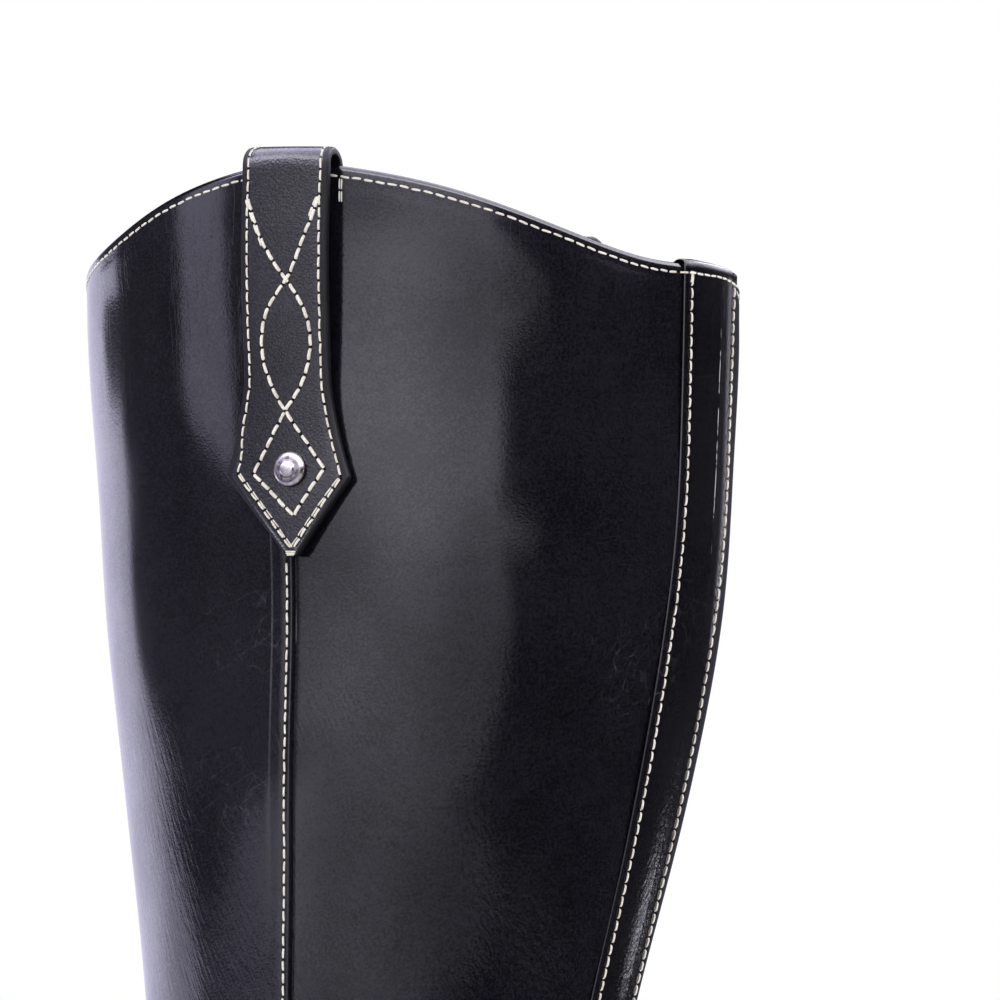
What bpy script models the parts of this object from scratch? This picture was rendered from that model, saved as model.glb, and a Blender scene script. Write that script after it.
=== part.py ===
"""Left knee-high pull-on leather boot, in metres.

+Z is up, the toe points to -Y and the outer side of the foot is +X. The boot stands on its heel and
on the flat of its forefoot, and the origin is on the floor in the middle of its length.

Every piece is worked out from one surface: sections run round the boot and are joined by smooth curves
up the leg. On a section, turn 0 is the front, a quarter turn is the outer side, a half turn is the back.
"""

import math

import bmesh
import bpy
import numpy as np
from mathutils import Vector

MM = 0.001
QUARTER = math.pi / 2

# Turns of the two lapped side seams, where the front panel's edge lies over the back panel.
SIDES = {"outer": QUARTER, "inner": 3 * QUARTER}

# Clearance between two pieces that touch on the real boot.
GAP = 0.3 * MM

# Leather and sole thicknesses.
UPPER_WALL = 2.2 * MM
LAP_STEP = 1.0 * MM
PULL_STRAP_THICK = 2.0 * MM
BACK_STRAP_THICK = 1.4 * MM
OUTSOLE_THICK = 5.0 * MM
WELT_THICK = 2.6 * MM
INSOLE_THICK = 5.0 * MM
TOP_LIFT_THICK = 6.0 * MM

# Shaft height at the two sides, and how far the collar dips in mm at turns in degrees from the front.
SHAFT_HEIGHT = 395.0 * MM
COLLAR_DIPS = (
    (0, 17.0), (30, 14.6), (50, 11.0), (65, 6.2), (80, 2.5), (90, 1.5),
    (105, 4.1), (120, 8.8), (135, 14.9), (147, 19.4), (158, 21.8), (180, 21.2),
)

# Sole lengths, measured forward from the back of the heel.
SOLE_BACK = -1.0 * MM
SOLE_TIP = 284.0 * MM
FLAT_FROM = 188.0 * MM
FLAT_TO = 226.0 * MM
TOE_SPRING = 10.5 * MM
HEEL_HEIGHT = 40.0 * MM
SEAT_LENGTH = 64.0 * MM
SEAT_SLOPE = 0.085

# Heel block: how far the back rakes in, the sides taper and the breast slopes towards the floor.
HEEL_RAKE = 11.0 * MM
HEEL_TAPER = 0.84
BREAST_SLOPE = 4.0 * MM
HEEL_LEVELS = 7

# Places along a foot section, as shares of its length from back to front, where its half widths are given.
STATIONS = (0.0, 0.13, 0.40, 0.70, 0.90, 1.0)

# Foot sections in mm. Each runs from a point on the back line to a point on the ridge of the foot.
# sole_share says how closely the section follows the curve of the sole.
# _in is the arch side and _out the outer side.
FOOT_COLUMNS = ("back", "back_height", "front", "front_height", "sole_share", "heel_radius", "heel",
                "waist_in", "waist_out", "ball_in", "ball_out", "toe_in", "toe_out", "toe_radius")
FOOT_SECTIONS = (
    (3.0, 0.0, 278.0, 0.0, 1.00, 25.0, 27.5, 22.5, 29.0, 40.0, 44.0, 21.5, 23.5, 7.0),
    (1.2, 53.5, 279.4, 22.0, 0.96, 26.0, 29.5, 26.5, 31.0, 42.0, 45.8, 23.0, 25.0, 7.5),
    (0.2, 61.0, 273.6, 30.6, 0.86, 26.5, 30.5, 29.5, 32.5, 41.0, 44.6, 22.8, 24.8, 8.0),
    (0.3, 70.0, 257.5, 40.4, 0.66, 26.0, 30.8, 31.5, 33.8, 35.8, 38.8, 21.5, 23.5, 8.0),
    (2.5, 82.0, 236.0, 50.0, 0.46, 25.0, 30.2, 32.5, 34.4, 31.8, 34.2, 21.0, 22.5, 8.0),
    (6.0, 94.0, 212.0, 61.4, 0.30, 23.0, 29.2, 33.5, 35.0, 30.6, 32.2, 20.5, 21.5, 8.0),
    (9.8, 107.0, 186.5, 78.0, 0.18, 20.5, 27.6, 35.0, 36.0, 31.5, 32.5, 20.3, 21.0, 9.0),
)

# Ankle and shaft sections in mm: plain ovals, tilted at the ankle and level from the calf up.
OVAL_COLUMNS = ("back", "back_height", "front", "front_height", "half_width")
ANKLE_SECTIONS = (
    (13.0, 122.0, 161.5, 97.5, 37.4),
    (15.2, 140.0, 140.5, 121.0, 38.8),
    (15.4, 161.0, 124.5, 151.0, 40.7),
    (12.0, 186.0, 117.8, 182.0, 43.3),
)
SHAFT_SECTIONS = (
    (7.2, 210.0, 118.2, 210.0, 46.5),
    (-2.5, 245.0, 122.3, 245.0, 51.3),
    (-12.3, 285.0, 127.0, 285.0, 55.2),
    (-17.5, 325.0, 130.8, 325.0, 57.8),
    (-18.5, 365.0, 133.8, 365.0, 60.0),
    (-20.6, 395.0, 134.2, 395.0, 63.4),
)
SHAFT_SHARES = (0.0, 0.2, 0.4, 0.6, 0.8, 1.0)

# Outline of the outsole in mm, in the same columns as a foot section.
SOLE_ROW = (-1.0, 0.0, 284.0, 0.0, 1.0, 26.5, 29.6, 25.0, 31.6, 45.0, 49.2, 26.5, 28.5, 11.0)
WELT_INSET = 2.5 * MM
INSOLE_INSET = 3.0 * MM

# Straps in mm: half width against distance below the collar, how far the strap stands off the shaft there,
# how far its middle lies behind the side seam, or inward of the middle of the back, and how far it drops
# for each mm across it towards the back.
STRAP_COLUMNS = ("below", "half_width", "stand_off", "shift", "slant")
PULL_STRAP_ROWS = (
    (0.0, 10.1, 1.9, 3.5, 0.0),
    (22.0, 10.1, 2.2, 2.6, 0.02),
    (42.0, 10.1, 1.4, 1.9, 0.05),
    (50.0, 10.4, 0.8, 1.4, 0.06),
    (58.0, 12.0, 0.3, 0.7, 0.08),
    (64.0, 13.5, 0.1, 0.4, 0.08),
    (68.0, 15.0, 0.0, 0.0, 0.08),
    (68.8, 14.8, 0.0, 0.0, 0.08),
    (86.0, 2.0, 0.0, 0.9, 0.08),
    (86.8, 1.2, 0.0, 0.9, 0.08),
)
PULL_RISE = 1.6 * MM
PULL_INNER = 48.0 * MM
BACK_STRAP_ROWS = (
    (0.0, 12.2, 0.0, -1.2, 0.0),
    (45.0, 11.3, 0.0, -1.9, 0.0),
    (80.0, 11.2, 0.0, -1.9, 0.0),
    (120.0, 10.9, 0.0, -0.7, 0.0),
    (150.0, 10.5, 0.0, 0.3, 0.0),
    (180.0, 10.2, 0.0, 0.2, 0.0),
    (250.0, 10.6, 0.0, 0.0, 0.0),
    (326.0, 15.0, 0.0, 0.0, 0.0),
)
BACK_RISE = 0.1 * MM
BACK_INNER = 10.0 * MM

# Rivet on each pull strap, a little behind its middle, and the shares of radius and crown in its profile.
RIVET_BELOW = 67.8 * MM
RIVET_BACK = 1.5 * MM
RIVET_RADIUS = 3.85 * MM
RIVET_CROWN = 1.9 * MM
RIVET_PROFILE = (
    (0.0, 0.92), (0.42, 0.92), (0.50, 1.0), (0.72, 0.88), (0.92, 0.52), (1.0, 0.16), (0.96, 0.0), (0.0, 0.0),
)

# Mesh density.
ROUND_STEPS = 44
HEIGHT_STEPS = 33
LAP_WIDTH = 0.9 * MM
SOLE_STEPS = 28
STRAP_ACROSS = 6
TURN_STEPS = 6


def spline(knots, values, places):
    """Natural cubic curve through values at knots, read at places; values may be rows of points."""
    knots = np.asarray(knots, float)
    values = np.asarray(values, float)
    count = len(knots)
    flat = values.reshape(count, -1)
    gaps = np.diff(knots)
    matrix = np.eye(count)
    right = np.zeros_like(flat)
    for k in range(1, count - 1):
        matrix[k, k - 1:k + 2] = gaps[k - 1], 2 * (gaps[k - 1] + gaps[k]), gaps[k]
        right[k] = 6 * ((flat[k + 1] - flat[k]) / gaps[k] - (flat[k] - flat[k - 1]) / gaps[k - 1])
    bend = np.linalg.solve(matrix, right)
    places = np.asarray(places, float)
    at = places.ravel()
    k = np.clip(np.searchsorted(knots, at) - 1, 0, count - 2)
    gap = gaps[k][:, None]
    low = (knots[k + 1] - at)[:, None] / gap
    high = 1 - low
    curve = low * flat[k] + high * flat[k + 1]
    curve += ((low**3 - low) * bend[k] + (high**3 - high) * bend[k + 1]) * gap**2 / 6
    return curve.reshape(places.shape + values.shape[1:])


def smooth_step(share):
    share = np.clip(share, 0, 1)
    return share * share * (3 - 2 * share)


def column(rows, columns, name):
    return np.array([row[columns.index(name)] for row in rows], float) * MM


# Sole profile

def sole_bottom(along):
    """Height of the outsole's underside: flat under the ball, curled at the toe, rising to the heel seat."""
    along = np.asarray(along, float)
    spring = TOE_SPRING * (np.clip(along - FLAT_TO, 0, None) / (SOLE_TIP - FLAT_TO))**1.7
    seat = HEEL_HEIGHT - SEAT_SLOPE * (along - SOLE_BACK)
    rise = smooth_step((FLAT_FROM - along) / (FLAT_FROM - SEAT_LENGTH + 18 * MM))
    return spring + np.where(along < FLAT_FROM, seat * rise, 0)


def sole_top(along):
    return sole_bottom(along) + OUTSOLE_THICK


def feather_height(along):
    """Height of the upper's lower edge, which stands on the welt."""
    return sole_top(along) + WELT_THICK + 2 * GAP


# Sections of the boot

def half_width(share, turn, row, columns):
    """Half width of a foot section at a share of its length: a smooth factor times an oval's."""
    value = dict(zip(columns, row))
    length = value["front"] - value["back"]
    oval = 2 * np.sqrt(np.array(STATIONS[1:-1]) * (1 - np.array(STATIONS[1:-1])))
    heel_end = math.sqrt(value["heel_radius"] * length / 2)
    toe_end = math.sqrt(value["toe_radius"] * length / 2)
    factors = []
    for side in ("_out", "_in"):
        widths = [value["heel"], value["waist" + side], value["ball" + side], value["toe" + side]]
        factors.append(spline(STATIONS, [heel_end, *(widths / oval), toe_end], share))
    return np.where(np.sin(turn) >= 0, *factors) * np.sin(turn) * MM


def foot_plan(turn, row):
    """Plan of a foot section: distance forward and distance to the outer side."""
    back, front = row[0] * MM, row[2] * MM
    share = (1 + np.cos(turn)) / 2
    return back + (front - back) * share, half_width(share, turn, row, FOOT_COLUMNS)


def inset_plan(turn, row, inset):
    """Plan of a foot section drawn in by an even distance all round."""
    along, side = foot_plan(turn, row)
    step = 1e-3
    ahead, behind = foot_plan(turn + step, row), foot_plan(turn - step, row)
    run_along, run_side = ahead[0] - behind[0], ahead[1] - behind[1]
    length = np.hypot(run_along, run_side)
    return along - inset * run_side / length, side + inset * run_along / length


def foot_section(turn, row):
    value = dict(zip(FOOT_COLUMNS, row))
    along, side = foot_plan(turn, row)
    feather = FOOT_SECTIONS[0]
    if row is feather:
        return np.stack([along, side, feather_height(along)], -1)
    share = (1 + np.cos(turn)) / 2
    ends = feather_height(np.array([feather[0], feather[2]]) * MM)
    place = np.array(feather[0] * MM) + (feather[2] - feather[0]) * MM * share
    sole_curve = feather_height(place) - (ends[0] + (ends[1] - ends[0]) * share)
    chord = (value["back_height"] + (value["front_height"] - value["back_height"]) * share) * MM
    return np.stack([along, side, chord + value["sole_share"] * sole_curve], -1)


def oval_section(turn, back, back_height, front, front_height, half):
    share = (1 + np.cos(turn)) / 2
    along = back + (front - back) * share
    return np.stack([along, half * np.sin(turn), back_height + (front_height - back_height) * share], -1)


def collar_height(turn):
    """The collar is highest at the two sides and dips at the front and the back."""
    turns, dips = np.array(COLLAR_DIPS, float).T
    around = np.concatenate([-turns[:0:-1], turns, 360 - turns[-2::-1]])
    dip = spline(around, np.concatenate([dips[:0:-1], dips, dips[-2::-1]]), np.degrees(turn) % 360)
    return SHAFT_HEIGHT - dip * MM


def shaft_section(turn, share):
    """Section at a share of the way from calf to collar, so the upper sections dip with the collar."""
    heights = column(SHAFT_SECTIONS, OVAL_COLUMNS, "back_height")
    height = heights[0] + (collar_height(turn) - heights[0]) * share
    back, front, half = (spline(heights, column(SHAFT_SECTIONS, OVAL_COLUMNS, name), height)
                         for name in ("back", "front", "half_width"))
    return oval_section(turn, back, height, front, height, half)


def all_sections(turn):
    """Points of every section at each turn, from the sole edge to the collar."""
    rows = [foot_section(turn, row) for row in FOOT_SECTIONS]
    rows += [oval_section(turn, *(np.array(row) * MM)) for row in ANKLE_SECTIONS]
    rows += [shaft_section(turn, share) for share in SHAFT_SHARES]
    return np.stack(rows)


def section_places():
    """Where each section lies between sole edge, 0, and collar, 1: its mean distance up the boot."""
    points = all_sections(np.linspace(0, 2 * math.pi, 48, endpoint=False))
    steps = np.linalg.norm(np.diff(points, axis=0), axis=-1).mean(axis=1)
    return np.concatenate([[0], np.cumsum(steps)]) / steps.sum()


PLACES = section_places()


def wall(turn, climb):
    """Outer face of the boot at a turn round it and a climb up it, as (forward, outward, up)."""
    turn, climb = np.broadcast_arrays(np.asarray(turn, float), np.asarray(climb, float))
    weights = spline(PLACES, np.eye(len(PLACES)), climb.ravel())
    points = all_sections(turn.ravel())
    return np.einsum("nk,knd->nd", weights, points).reshape(turn.shape + (3,))


def wall_normal(turn, climb):
    step = 1e-4
    around = wall(turn + step, climb) - wall(turn - step, climb)
    upward = wall(turn, np.minimum(climb + step, 1)) - wall(turn, np.maximum(climb - step, 0))
    normal = np.cross(around, upward)
    return normal / np.linalg.norm(normal, axis=-1, keepdims=True)


def turn_per_length(turn, climb):
    step = 1e-4
    return 2 * step / np.linalg.norm(wall(turn + step, climb) - wall(turn - step, climb), axis=-1)


def run_below_collar(turn):
    """Climbs from the collar down along one turn, and the distance down the boot at each of them."""
    climbs = np.linspace(1, 0, HEIGHT_STEPS * 12 + 1)
    points = wall(np.full_like(climbs, turn), climbs)
    return climbs, np.concatenate([[0], np.cumsum(np.linalg.norm(np.diff(points, axis=0), axis=1))])


def climb_below_collar(turn, distances):
    climbs, run = run_below_collar(turn)
    return np.interp(distances, run, climbs)


def rows_below_collar(turn, reach):
    """Distances below the collar, down to a reach, of the rows of the upper's own mesh."""
    climbs, run = run_below_collar(turn)
    rows = np.interp(np.linspace(0, 1, HEIGHT_STEPS + 1), climbs[::-1], run[::-1])
    return rows[rows < reach]


# Middle of the boot's length, from the back strap at the collar to the tip of the sole.
BACK_REACH = wall(math.pi, 1.0)[0] - GAP - BACK_STRAP_THICK
MIDDLE = (SOLE_TIP + BACK_REACH) / 2


def to_boot(points):
    """(forward, outward, up) as X, Y, Z of the boot's own frame."""
    points = np.asarray(points, float)
    return np.stack([points[..., 1], MIDDLE - points[..., 0], points[..., 2]], -1)


# Making objects

def finish(name, colour, roughness, metallic=0.0):
    material = bpy.data.materials.new(name)
    material.use_nodes = True
    shader = material.node_tree.nodes["Principled BSDF"]
    shader.inputs["Base Color"].default_value = (*colour, 1)
    shader.inputs["Roughness"].default_value = roughness
    shader.inputs["Metallic"].default_value = metallic
    return material


def add_object(name, points, faces, material):
    mesh = bpy.data.meshes.new(name)
    mesh.from_pydata([tuple(p) for p in to_boot(points)], [], faces)
    mesh.materials.append(material)
    mesh.shade_smooth()
    mesh.set_sharp_from_angle(angle=math.radians(40))
    made = bpy.data.objects.new(name, mesh)
    BOOT.objects.link(made)
    return made


def grid_faces(rows, across, closed):
    """Quads of a grid whose rows follow each other; closed joins the last point across to the first."""
    faces = []
    for j in range(rows - 1):
        for i in range(across if closed else across - 1):
            right = (i + 1) % across
            low, high = j * across, (j + 1) * across
            faces.append((low + i, low + right, high + right, high + i))
    return faces


def thicken(made, thickness, outward):
    shell = made.modifiers.new("wall", "SOLIDIFY")
    shell.thickness = thickness
    shell.offset = 1.0 if outward else -1.0
    shell.use_even_offset = True
    return made


def stacked_outlines(name, levels, material):
    """Solid between outlines stacked from top to bottom. Each outline is a loop whose first and last halves
    mirror each other, so the two ends are closed by strips that run across from one half to the other."""
    rows, across = len(levels), len(levels[0])
    faces = grid_faces(rows, across, closed=True)
    last = (rows - 1) * across
    for i in range((across - 1) // 2):
        near, far = across - 1 - i, across - 2 - i
        strip = (i, i + 1, far, near) if far != i + 1 else (i, i + 1, near)
        faces.append(tuple(reversed(strip)))
        faces.append(tuple(last + corner for corner in strip))
    made = add_object(name, np.concatenate(levels), [tuple(reversed(face)) for face in faces], material)
    outward_faces(made)
    return made


def outward_faces(made):
    """Turns every face of a closed mesh to point out of it."""
    work = bmesh.new()
    work.from_mesh(made.data)
    bmesh.ops.remove_doubles(work, verts=work.verts, dist=1e-6)
    bmesh.ops.recalc_face_normals(work, faces=work.faces)
    work.to_mesh(made.data)
    work.free()


def outline_turns(steps):
    """Turns round a sole outline from the tip to the tip, so that its two halves mirror each other."""
    return np.linspace(0, 2 * math.pi, 2 * steps + 1)


# Upper

def round_turns():
    """Turns of the upper's columns: even steps, with a close pair at each lapped seam."""
    half_pair = LAP_WIDTH / 2 * turn_per_length(np.array(QUARTER), np.array(0.9))
    even = np.arange(ROUND_STEPS) * 2 * math.pi / ROUND_STEPS
    seams = np.array(list(SIDES.values()))
    away = np.abs(even[:, None] - seams).min(axis=1) > 2 * half_pair
    pairs = np.concatenate([seams - half_pair, seams + half_pair])
    return np.sort(np.concatenate([even[away], pairs]))


def make_upper(material):
    turns = round_turns()
    climbs = np.linspace(0, 1, HEIGHT_STEPS + 1)
    turn, climb = np.meshgrid(turns, climbs)
    on_front = np.cos(turn) > 0
    points = wall(turn, climb) + wall_normal(turn, climb) * np.where(on_front, LAP_STEP, 0)[..., None]
    points[0, :, 2] = feather_height(points[0, :, 0])
    made = add_object("upper", points.reshape(-1, 3), grid_faces(len(climbs), len(turns), True), material)
    return thicken(made, UPPER_WALL, outward=False)


# Straps that fold over the collar

def strap_row(turn, rows, distance, across):
    """Turns and climbs of points across a strap at a distance below the collar, and its stand-off there.
    Across is a share of the half width, from -1 at the front edge to 1 at the edge towards the back."""
    below = column(rows, STRAP_COLUMNS, "below")
    half, stand, shift, slant = (
        np.interp(distance, below, column(rows, STRAP_COLUMNS, name)) for name in STRAP_COLUMNS[1:]
    )
    drop = across * half * slant / MM
    climb = climb_below_collar(turn, distance + drop)
    reach = (across * half + shift) * math.copysign(1, math.pi - turn)
    turns = turn + reach * turn_per_length(np.full_like(across, turn), climb)
    return turns, climb, stand


def strap_sheet(turn, rows, rise, inner, lap=0.0):
    """Inner face of a strap: up the outside of the shaft, over the collar and a way down the inside."""
    below = column(rows, STRAP_COLUMNS, "below")
    distances = np.unique(np.concatenate([below, rows_below_collar(turn, below[-1])]).round(5))[::-1]
    across = np.linspace(-1, 1, STRAP_ACROSS + 1) * math.copysign(1, math.pi - turn)
    sheet = []
    for distance in distances:
        turns, climb, stand = strap_row(turn, rows, distance, across)
        sheet.append(wall(turns, climb) + wall_normal(turns, climb) * (GAP + lap + stand))
    normal = wall_normal(turns, climb) * [1, 1, 0]
    depth = UPPER_WALL + 3 * GAP + lap + stand
    middle = sheet[-1] - normal * depth / 2
    for angle in np.linspace(0, math.pi, TURN_STEPS + 1)[1:]:
        lifted = np.array([0, 0, rise + GAP]) * math.sin(angle)
        sheet.append(middle + normal * depth / 2 * math.cos(angle) + lifted)
    for distance in np.linspace(0, inner, 5)[1:]:
        climb = np.full_like(across, climb_below_collar(turn, distance))
        sheet.append(wall(turns, climb) - wall_normal(turns, climb) * (UPPER_WALL + 2 * GAP))
    return np.stack(sheet)


def make_strap(name, sheet, thickness, material):
    rows, across = sheet.shape[:2]
    made = add_object(name, sheet.reshape(-1, 3), grid_faces(rows, across, False), material)
    return thicken(made, thickness, outward=True)


def make_pull_straps(material):
    for side, turn in SIDES.items():
        sheet = strap_sheet(turn, PULL_STRAP_ROWS, PULL_RISE, PULL_INNER, LAP_STEP)
        make_strap("pull_strap_" + side, sheet, PULL_STRAP_THICK, material)


def make_back_strap(material):
    sheet = strap_sheet(math.pi, BACK_STRAP_ROWS, BACK_RISE, BACK_INNER)
    make_strap("back_strap", sheet, BACK_STRAP_THICK, material)


# Rivets

def make_rivets(material):
    """Turned cap with a rounded rim and a shallow dished face, standing on the strap along its normal."""
    seat = GAP + LAP_STEP + PULL_STRAP_THICK + GAP
    across = np.array([RIVET_BACK / np.interp(
        RIVET_BELOW,
        column(PULL_STRAP_ROWS, STRAP_COLUMNS, "below"),
        column(PULL_STRAP_ROWS, STRAP_COLUMNS, "half_width"),
    )])
    for side, turn in SIDES.items():
        name = "rivet_" + side
        turns, climb, stand = strap_row(turn, PULL_STRAP_ROWS, RIVET_BELOW, across)
        normal = wall_normal(turns, climb)[0]
        foot = to_boot(wall(turns, climb)[0] + normal * (seat + stand))
        axis = Vector(to_boot(normal) - to_boot(np.zeros(3)))
        mesh = bpy.data.meshes.new(name)
        corners = [(r * RIVET_RADIUS, 0, h * RIVET_CROWN) for r, h in RIVET_PROFILE]
        mesh.from_pydata(corners, [(k, k + 1) for k in range(len(corners) - 1)], [])
        mesh.materials.append(material)
        made = bpy.data.objects.new(name, mesh)
        BOOT.objects.link(made)
        turned = made.modifiers.new("turned", "SCREW")
        turned.steps = turned.render_steps = 20
        turned.use_merge_vertices = True
        turned.merge_threshold = 1e-5
        made.location = foot
        made.rotation_mode = "QUATERNION"
        made.rotation_quaternion = axis.to_track_quat("Z", "Y")


# Sole pieces

def make_outsole(material):
    turns = outline_turns(SOLE_STEPS)
    along, side = foot_plan(turns, SOLE_ROW)
    round_edge = 0.8 * MM
    tight_along, tight_side = inset_plan(turns, SOLE_ROW, round_edge)
    top, bottom = sole_top, sole_bottom
    levels = [
        np.stack([tight_along, tight_side, top(tight_along)], -1),
        np.stack([along, side, top(along) - round_edge], -1),
        np.stack([along, side, bottom(along) + round_edge], -1),
        np.stack([tight_along, tight_side, bottom(tight_along)], -1),
    ]
    return stacked_outlines("outsole", levels, material)


def make_welt(material):
    """Strip that runs right round between outsole and upper."""
    turns = outline_turns(SOLE_STEPS)[:-1]
    edge = 0.5 * MM
    outer = inset_plan(turns, SOLE_ROW, edge)
    inner = inset_plan(turns, FOOT_SECTIONS[0], WELT_INSET)
    low, high = GAP, GAP + WELT_THICK
    corners = [(outer, low), (outer, high), (inner, high), (inner, low)]
    loops = np.stack([
        np.stack([along, side, sole_top(along) + lift], -1) for (along, side), lift in corners
    ])
    closed = np.concatenate([loops, loops[:1]])
    made = add_object("welt", closed.reshape(-1, 3), grid_faces(len(closed), len(turns), True), material)
    outward_faces(made)
    return made


def make_insole(material):
    turns = outline_turns(SOLE_STEPS)
    along, side = inset_plan(turns, FOOT_SECTIONS[0], INSOLE_INSET)
    low = sole_top(along) + GAP
    levels = [np.stack([along, side, low + INSOLE_THICK], -1), np.stack([along, side, low], -1)]
    return stacked_outlines("insole", levels, material)


def heel_outline(steps):
    """Plan of the heel seat, from the outer corner of the breast round the back to the inner corner."""
    breast = math.acos(2 * (SEAT_LENGTH - SOLE_BACK) / (SOLE_TIP - SOLE_BACK) - 1)
    turns = np.linspace(breast, 2 * math.pi - breast, 2 * steps + 1)
    return inset_plan(turns, SOLE_ROW, 0.4 * MM)


def heel_level(share):
    """The heel's outline at a share of its height from seat to floor, raked at the back and tapered."""
    along, side = heel_outline(12)
    curve = 1 - (1 - share)**1.6
    back = SOLE_BACK + HEEL_RAKE * curve
    breast = SEAT_LENGTH - BREAST_SLOPE * curve
    place = (along - along.min()) / (along.max() - along.min())
    return back + (breast - back) * place, side * (1 - (1 - HEEL_TAPER) * curve)


def make_heel(stack_material, lift_material):
    seat_along, _ = heel_outline(12)
    floor = TOP_LIFT_THICK + GAP
    levels = []
    for share in np.linspace(0, 1, HEEL_LEVELS):
        along, side = heel_level(share)
        seat = sole_bottom(along if share == 0 else seat_along) - GAP
        levels.append(np.stack([along, side, seat + (floor - seat) * share], -1))
    stacked_outlines("heel_stack", levels, stack_material)
    along, side = heel_level(1)
    lift = [np.stack([along, side, np.full_like(along, height)], -1) for height in (TOP_LIFT_THICK, 0)]
    stacked_outlines("top_lift", lift, lift_material)


def main():
    make_upper(finish("black shaft leather", (0.012, 0.011, 0.014), 0.28))
    strap_leather = finish("black strap leather", (0.014, 0.013, 0.016), 0.34)
    make_pull_straps(strap_leather)
    make_back_strap(strap_leather)
    make_rivets(finish("gunmetal rivet", (0.42, 0.40, 0.42), 0.22, 1.0))
    make_outsole(finish("black sole leather", (0.018, 0.017, 0.018), 0.42))
    make_welt(finish("black welt leather", (0.016, 0.015, 0.017), 0.40))
    make_insole(finish("tan insole leather", (0.30, 0.21, 0.13), 0.65))
    make_heel(finish("stacked heel leather", (0.020, 0.018, 0.018), 0.38),
              finish("heel rubber", (0.015, 0.015, 0.016), 0.60))


for old in list(bpy.data.objects):
    bpy.data.objects.remove(old)
BOOT = bpy.data.collections.new("leather_boot")
bpy.context.scene.collection.children.link(BOOT)
main()
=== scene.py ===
"""Looks of a left knee-high pull-on leather boot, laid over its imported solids.

Lengths are metres unless a table says mm. A point of the boot is first worked out as (forward from the heel,
out to the side, up) and then turned into the boot's own frame, where the toe points to -Y and the outer side
is +X. On a section round the boot, turn 0 is the front, a quarter turn the outer side, a half turn the back.
"""

import math

import bpy
import numpy as np
from mathutils import Matrix, Vector


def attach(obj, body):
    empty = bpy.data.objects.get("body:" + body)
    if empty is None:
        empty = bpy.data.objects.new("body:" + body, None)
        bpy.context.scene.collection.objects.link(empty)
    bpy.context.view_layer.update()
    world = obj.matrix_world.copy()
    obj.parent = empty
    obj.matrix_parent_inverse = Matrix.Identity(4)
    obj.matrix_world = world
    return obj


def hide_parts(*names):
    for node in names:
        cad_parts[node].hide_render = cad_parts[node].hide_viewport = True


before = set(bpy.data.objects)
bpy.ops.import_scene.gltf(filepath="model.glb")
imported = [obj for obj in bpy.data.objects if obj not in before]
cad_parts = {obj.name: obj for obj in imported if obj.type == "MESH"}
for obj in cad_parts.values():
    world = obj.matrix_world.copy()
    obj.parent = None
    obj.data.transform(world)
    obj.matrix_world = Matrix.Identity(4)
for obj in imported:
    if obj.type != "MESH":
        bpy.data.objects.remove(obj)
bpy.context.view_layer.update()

MM = 0.001
CENTIMETRE = 0.01
QUARTER = math.pi / 2
ROUND = 2 * math.pi
SIDES = {"outer": QUARTER, "inner": 3 * QUARTER}

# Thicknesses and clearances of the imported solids.
GAP = 0.3 * MM
UPPER_WALL = 2.2 * MM
LAP_STEP = 1.0 * MM
PULL_STRAP_THICK = 2.0 * MM
BACK_STRAP_THICK = 1.4 * MM
BACK_STRAP_FACE = 1.05 * MM
OUTSOLE_THICK = 5.0 * MM
WELT_THICK = 2.6 * MM
TOP_LIFT_THICK = 6.0 * MM

# Shaft height at the sides, and the collar's dip in mm at turns in degrees from front to back.
SHAFT_HEIGHT = 395.0 * MM
COLLAR_DIPS = ((0, 17.0), (30, 14.6), (50, 11.0), (65, 6.2), (80, 2.5), (90, 1.5), (105, 4.1),
               (120, 8.8), (135, 14.9), (147, 19.4), (158, 21.8), (180, 21.2))

# Sole lengths, measured forward from the back of the heel.
SOLE_BACK = -1.0 * MM
SOLE_TIP = 284.0 * MM
FLAT_FROM = 188.0 * MM
FLAT_TO = 226.0 * MM
TOE_SPRING = 10.5 * MM
TOE_CURVE = 1.7
HEEL_HEIGHT = 40.0 * MM
SEAT_LENGTH = 64.0 * MM
SEAT_SLOPE = 0.085
SEAT_EASE = 18.0 * MM
HEEL_INSET = 0.4 * MM
HEEL_RAKE = 11.0 * MM
HEEL_CURVE = 1.6
HEEL_TAPER = 0.84
HEEL_HALF = 28.0 * MM
BREAST_SLOPE = 4.0 * MM

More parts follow.
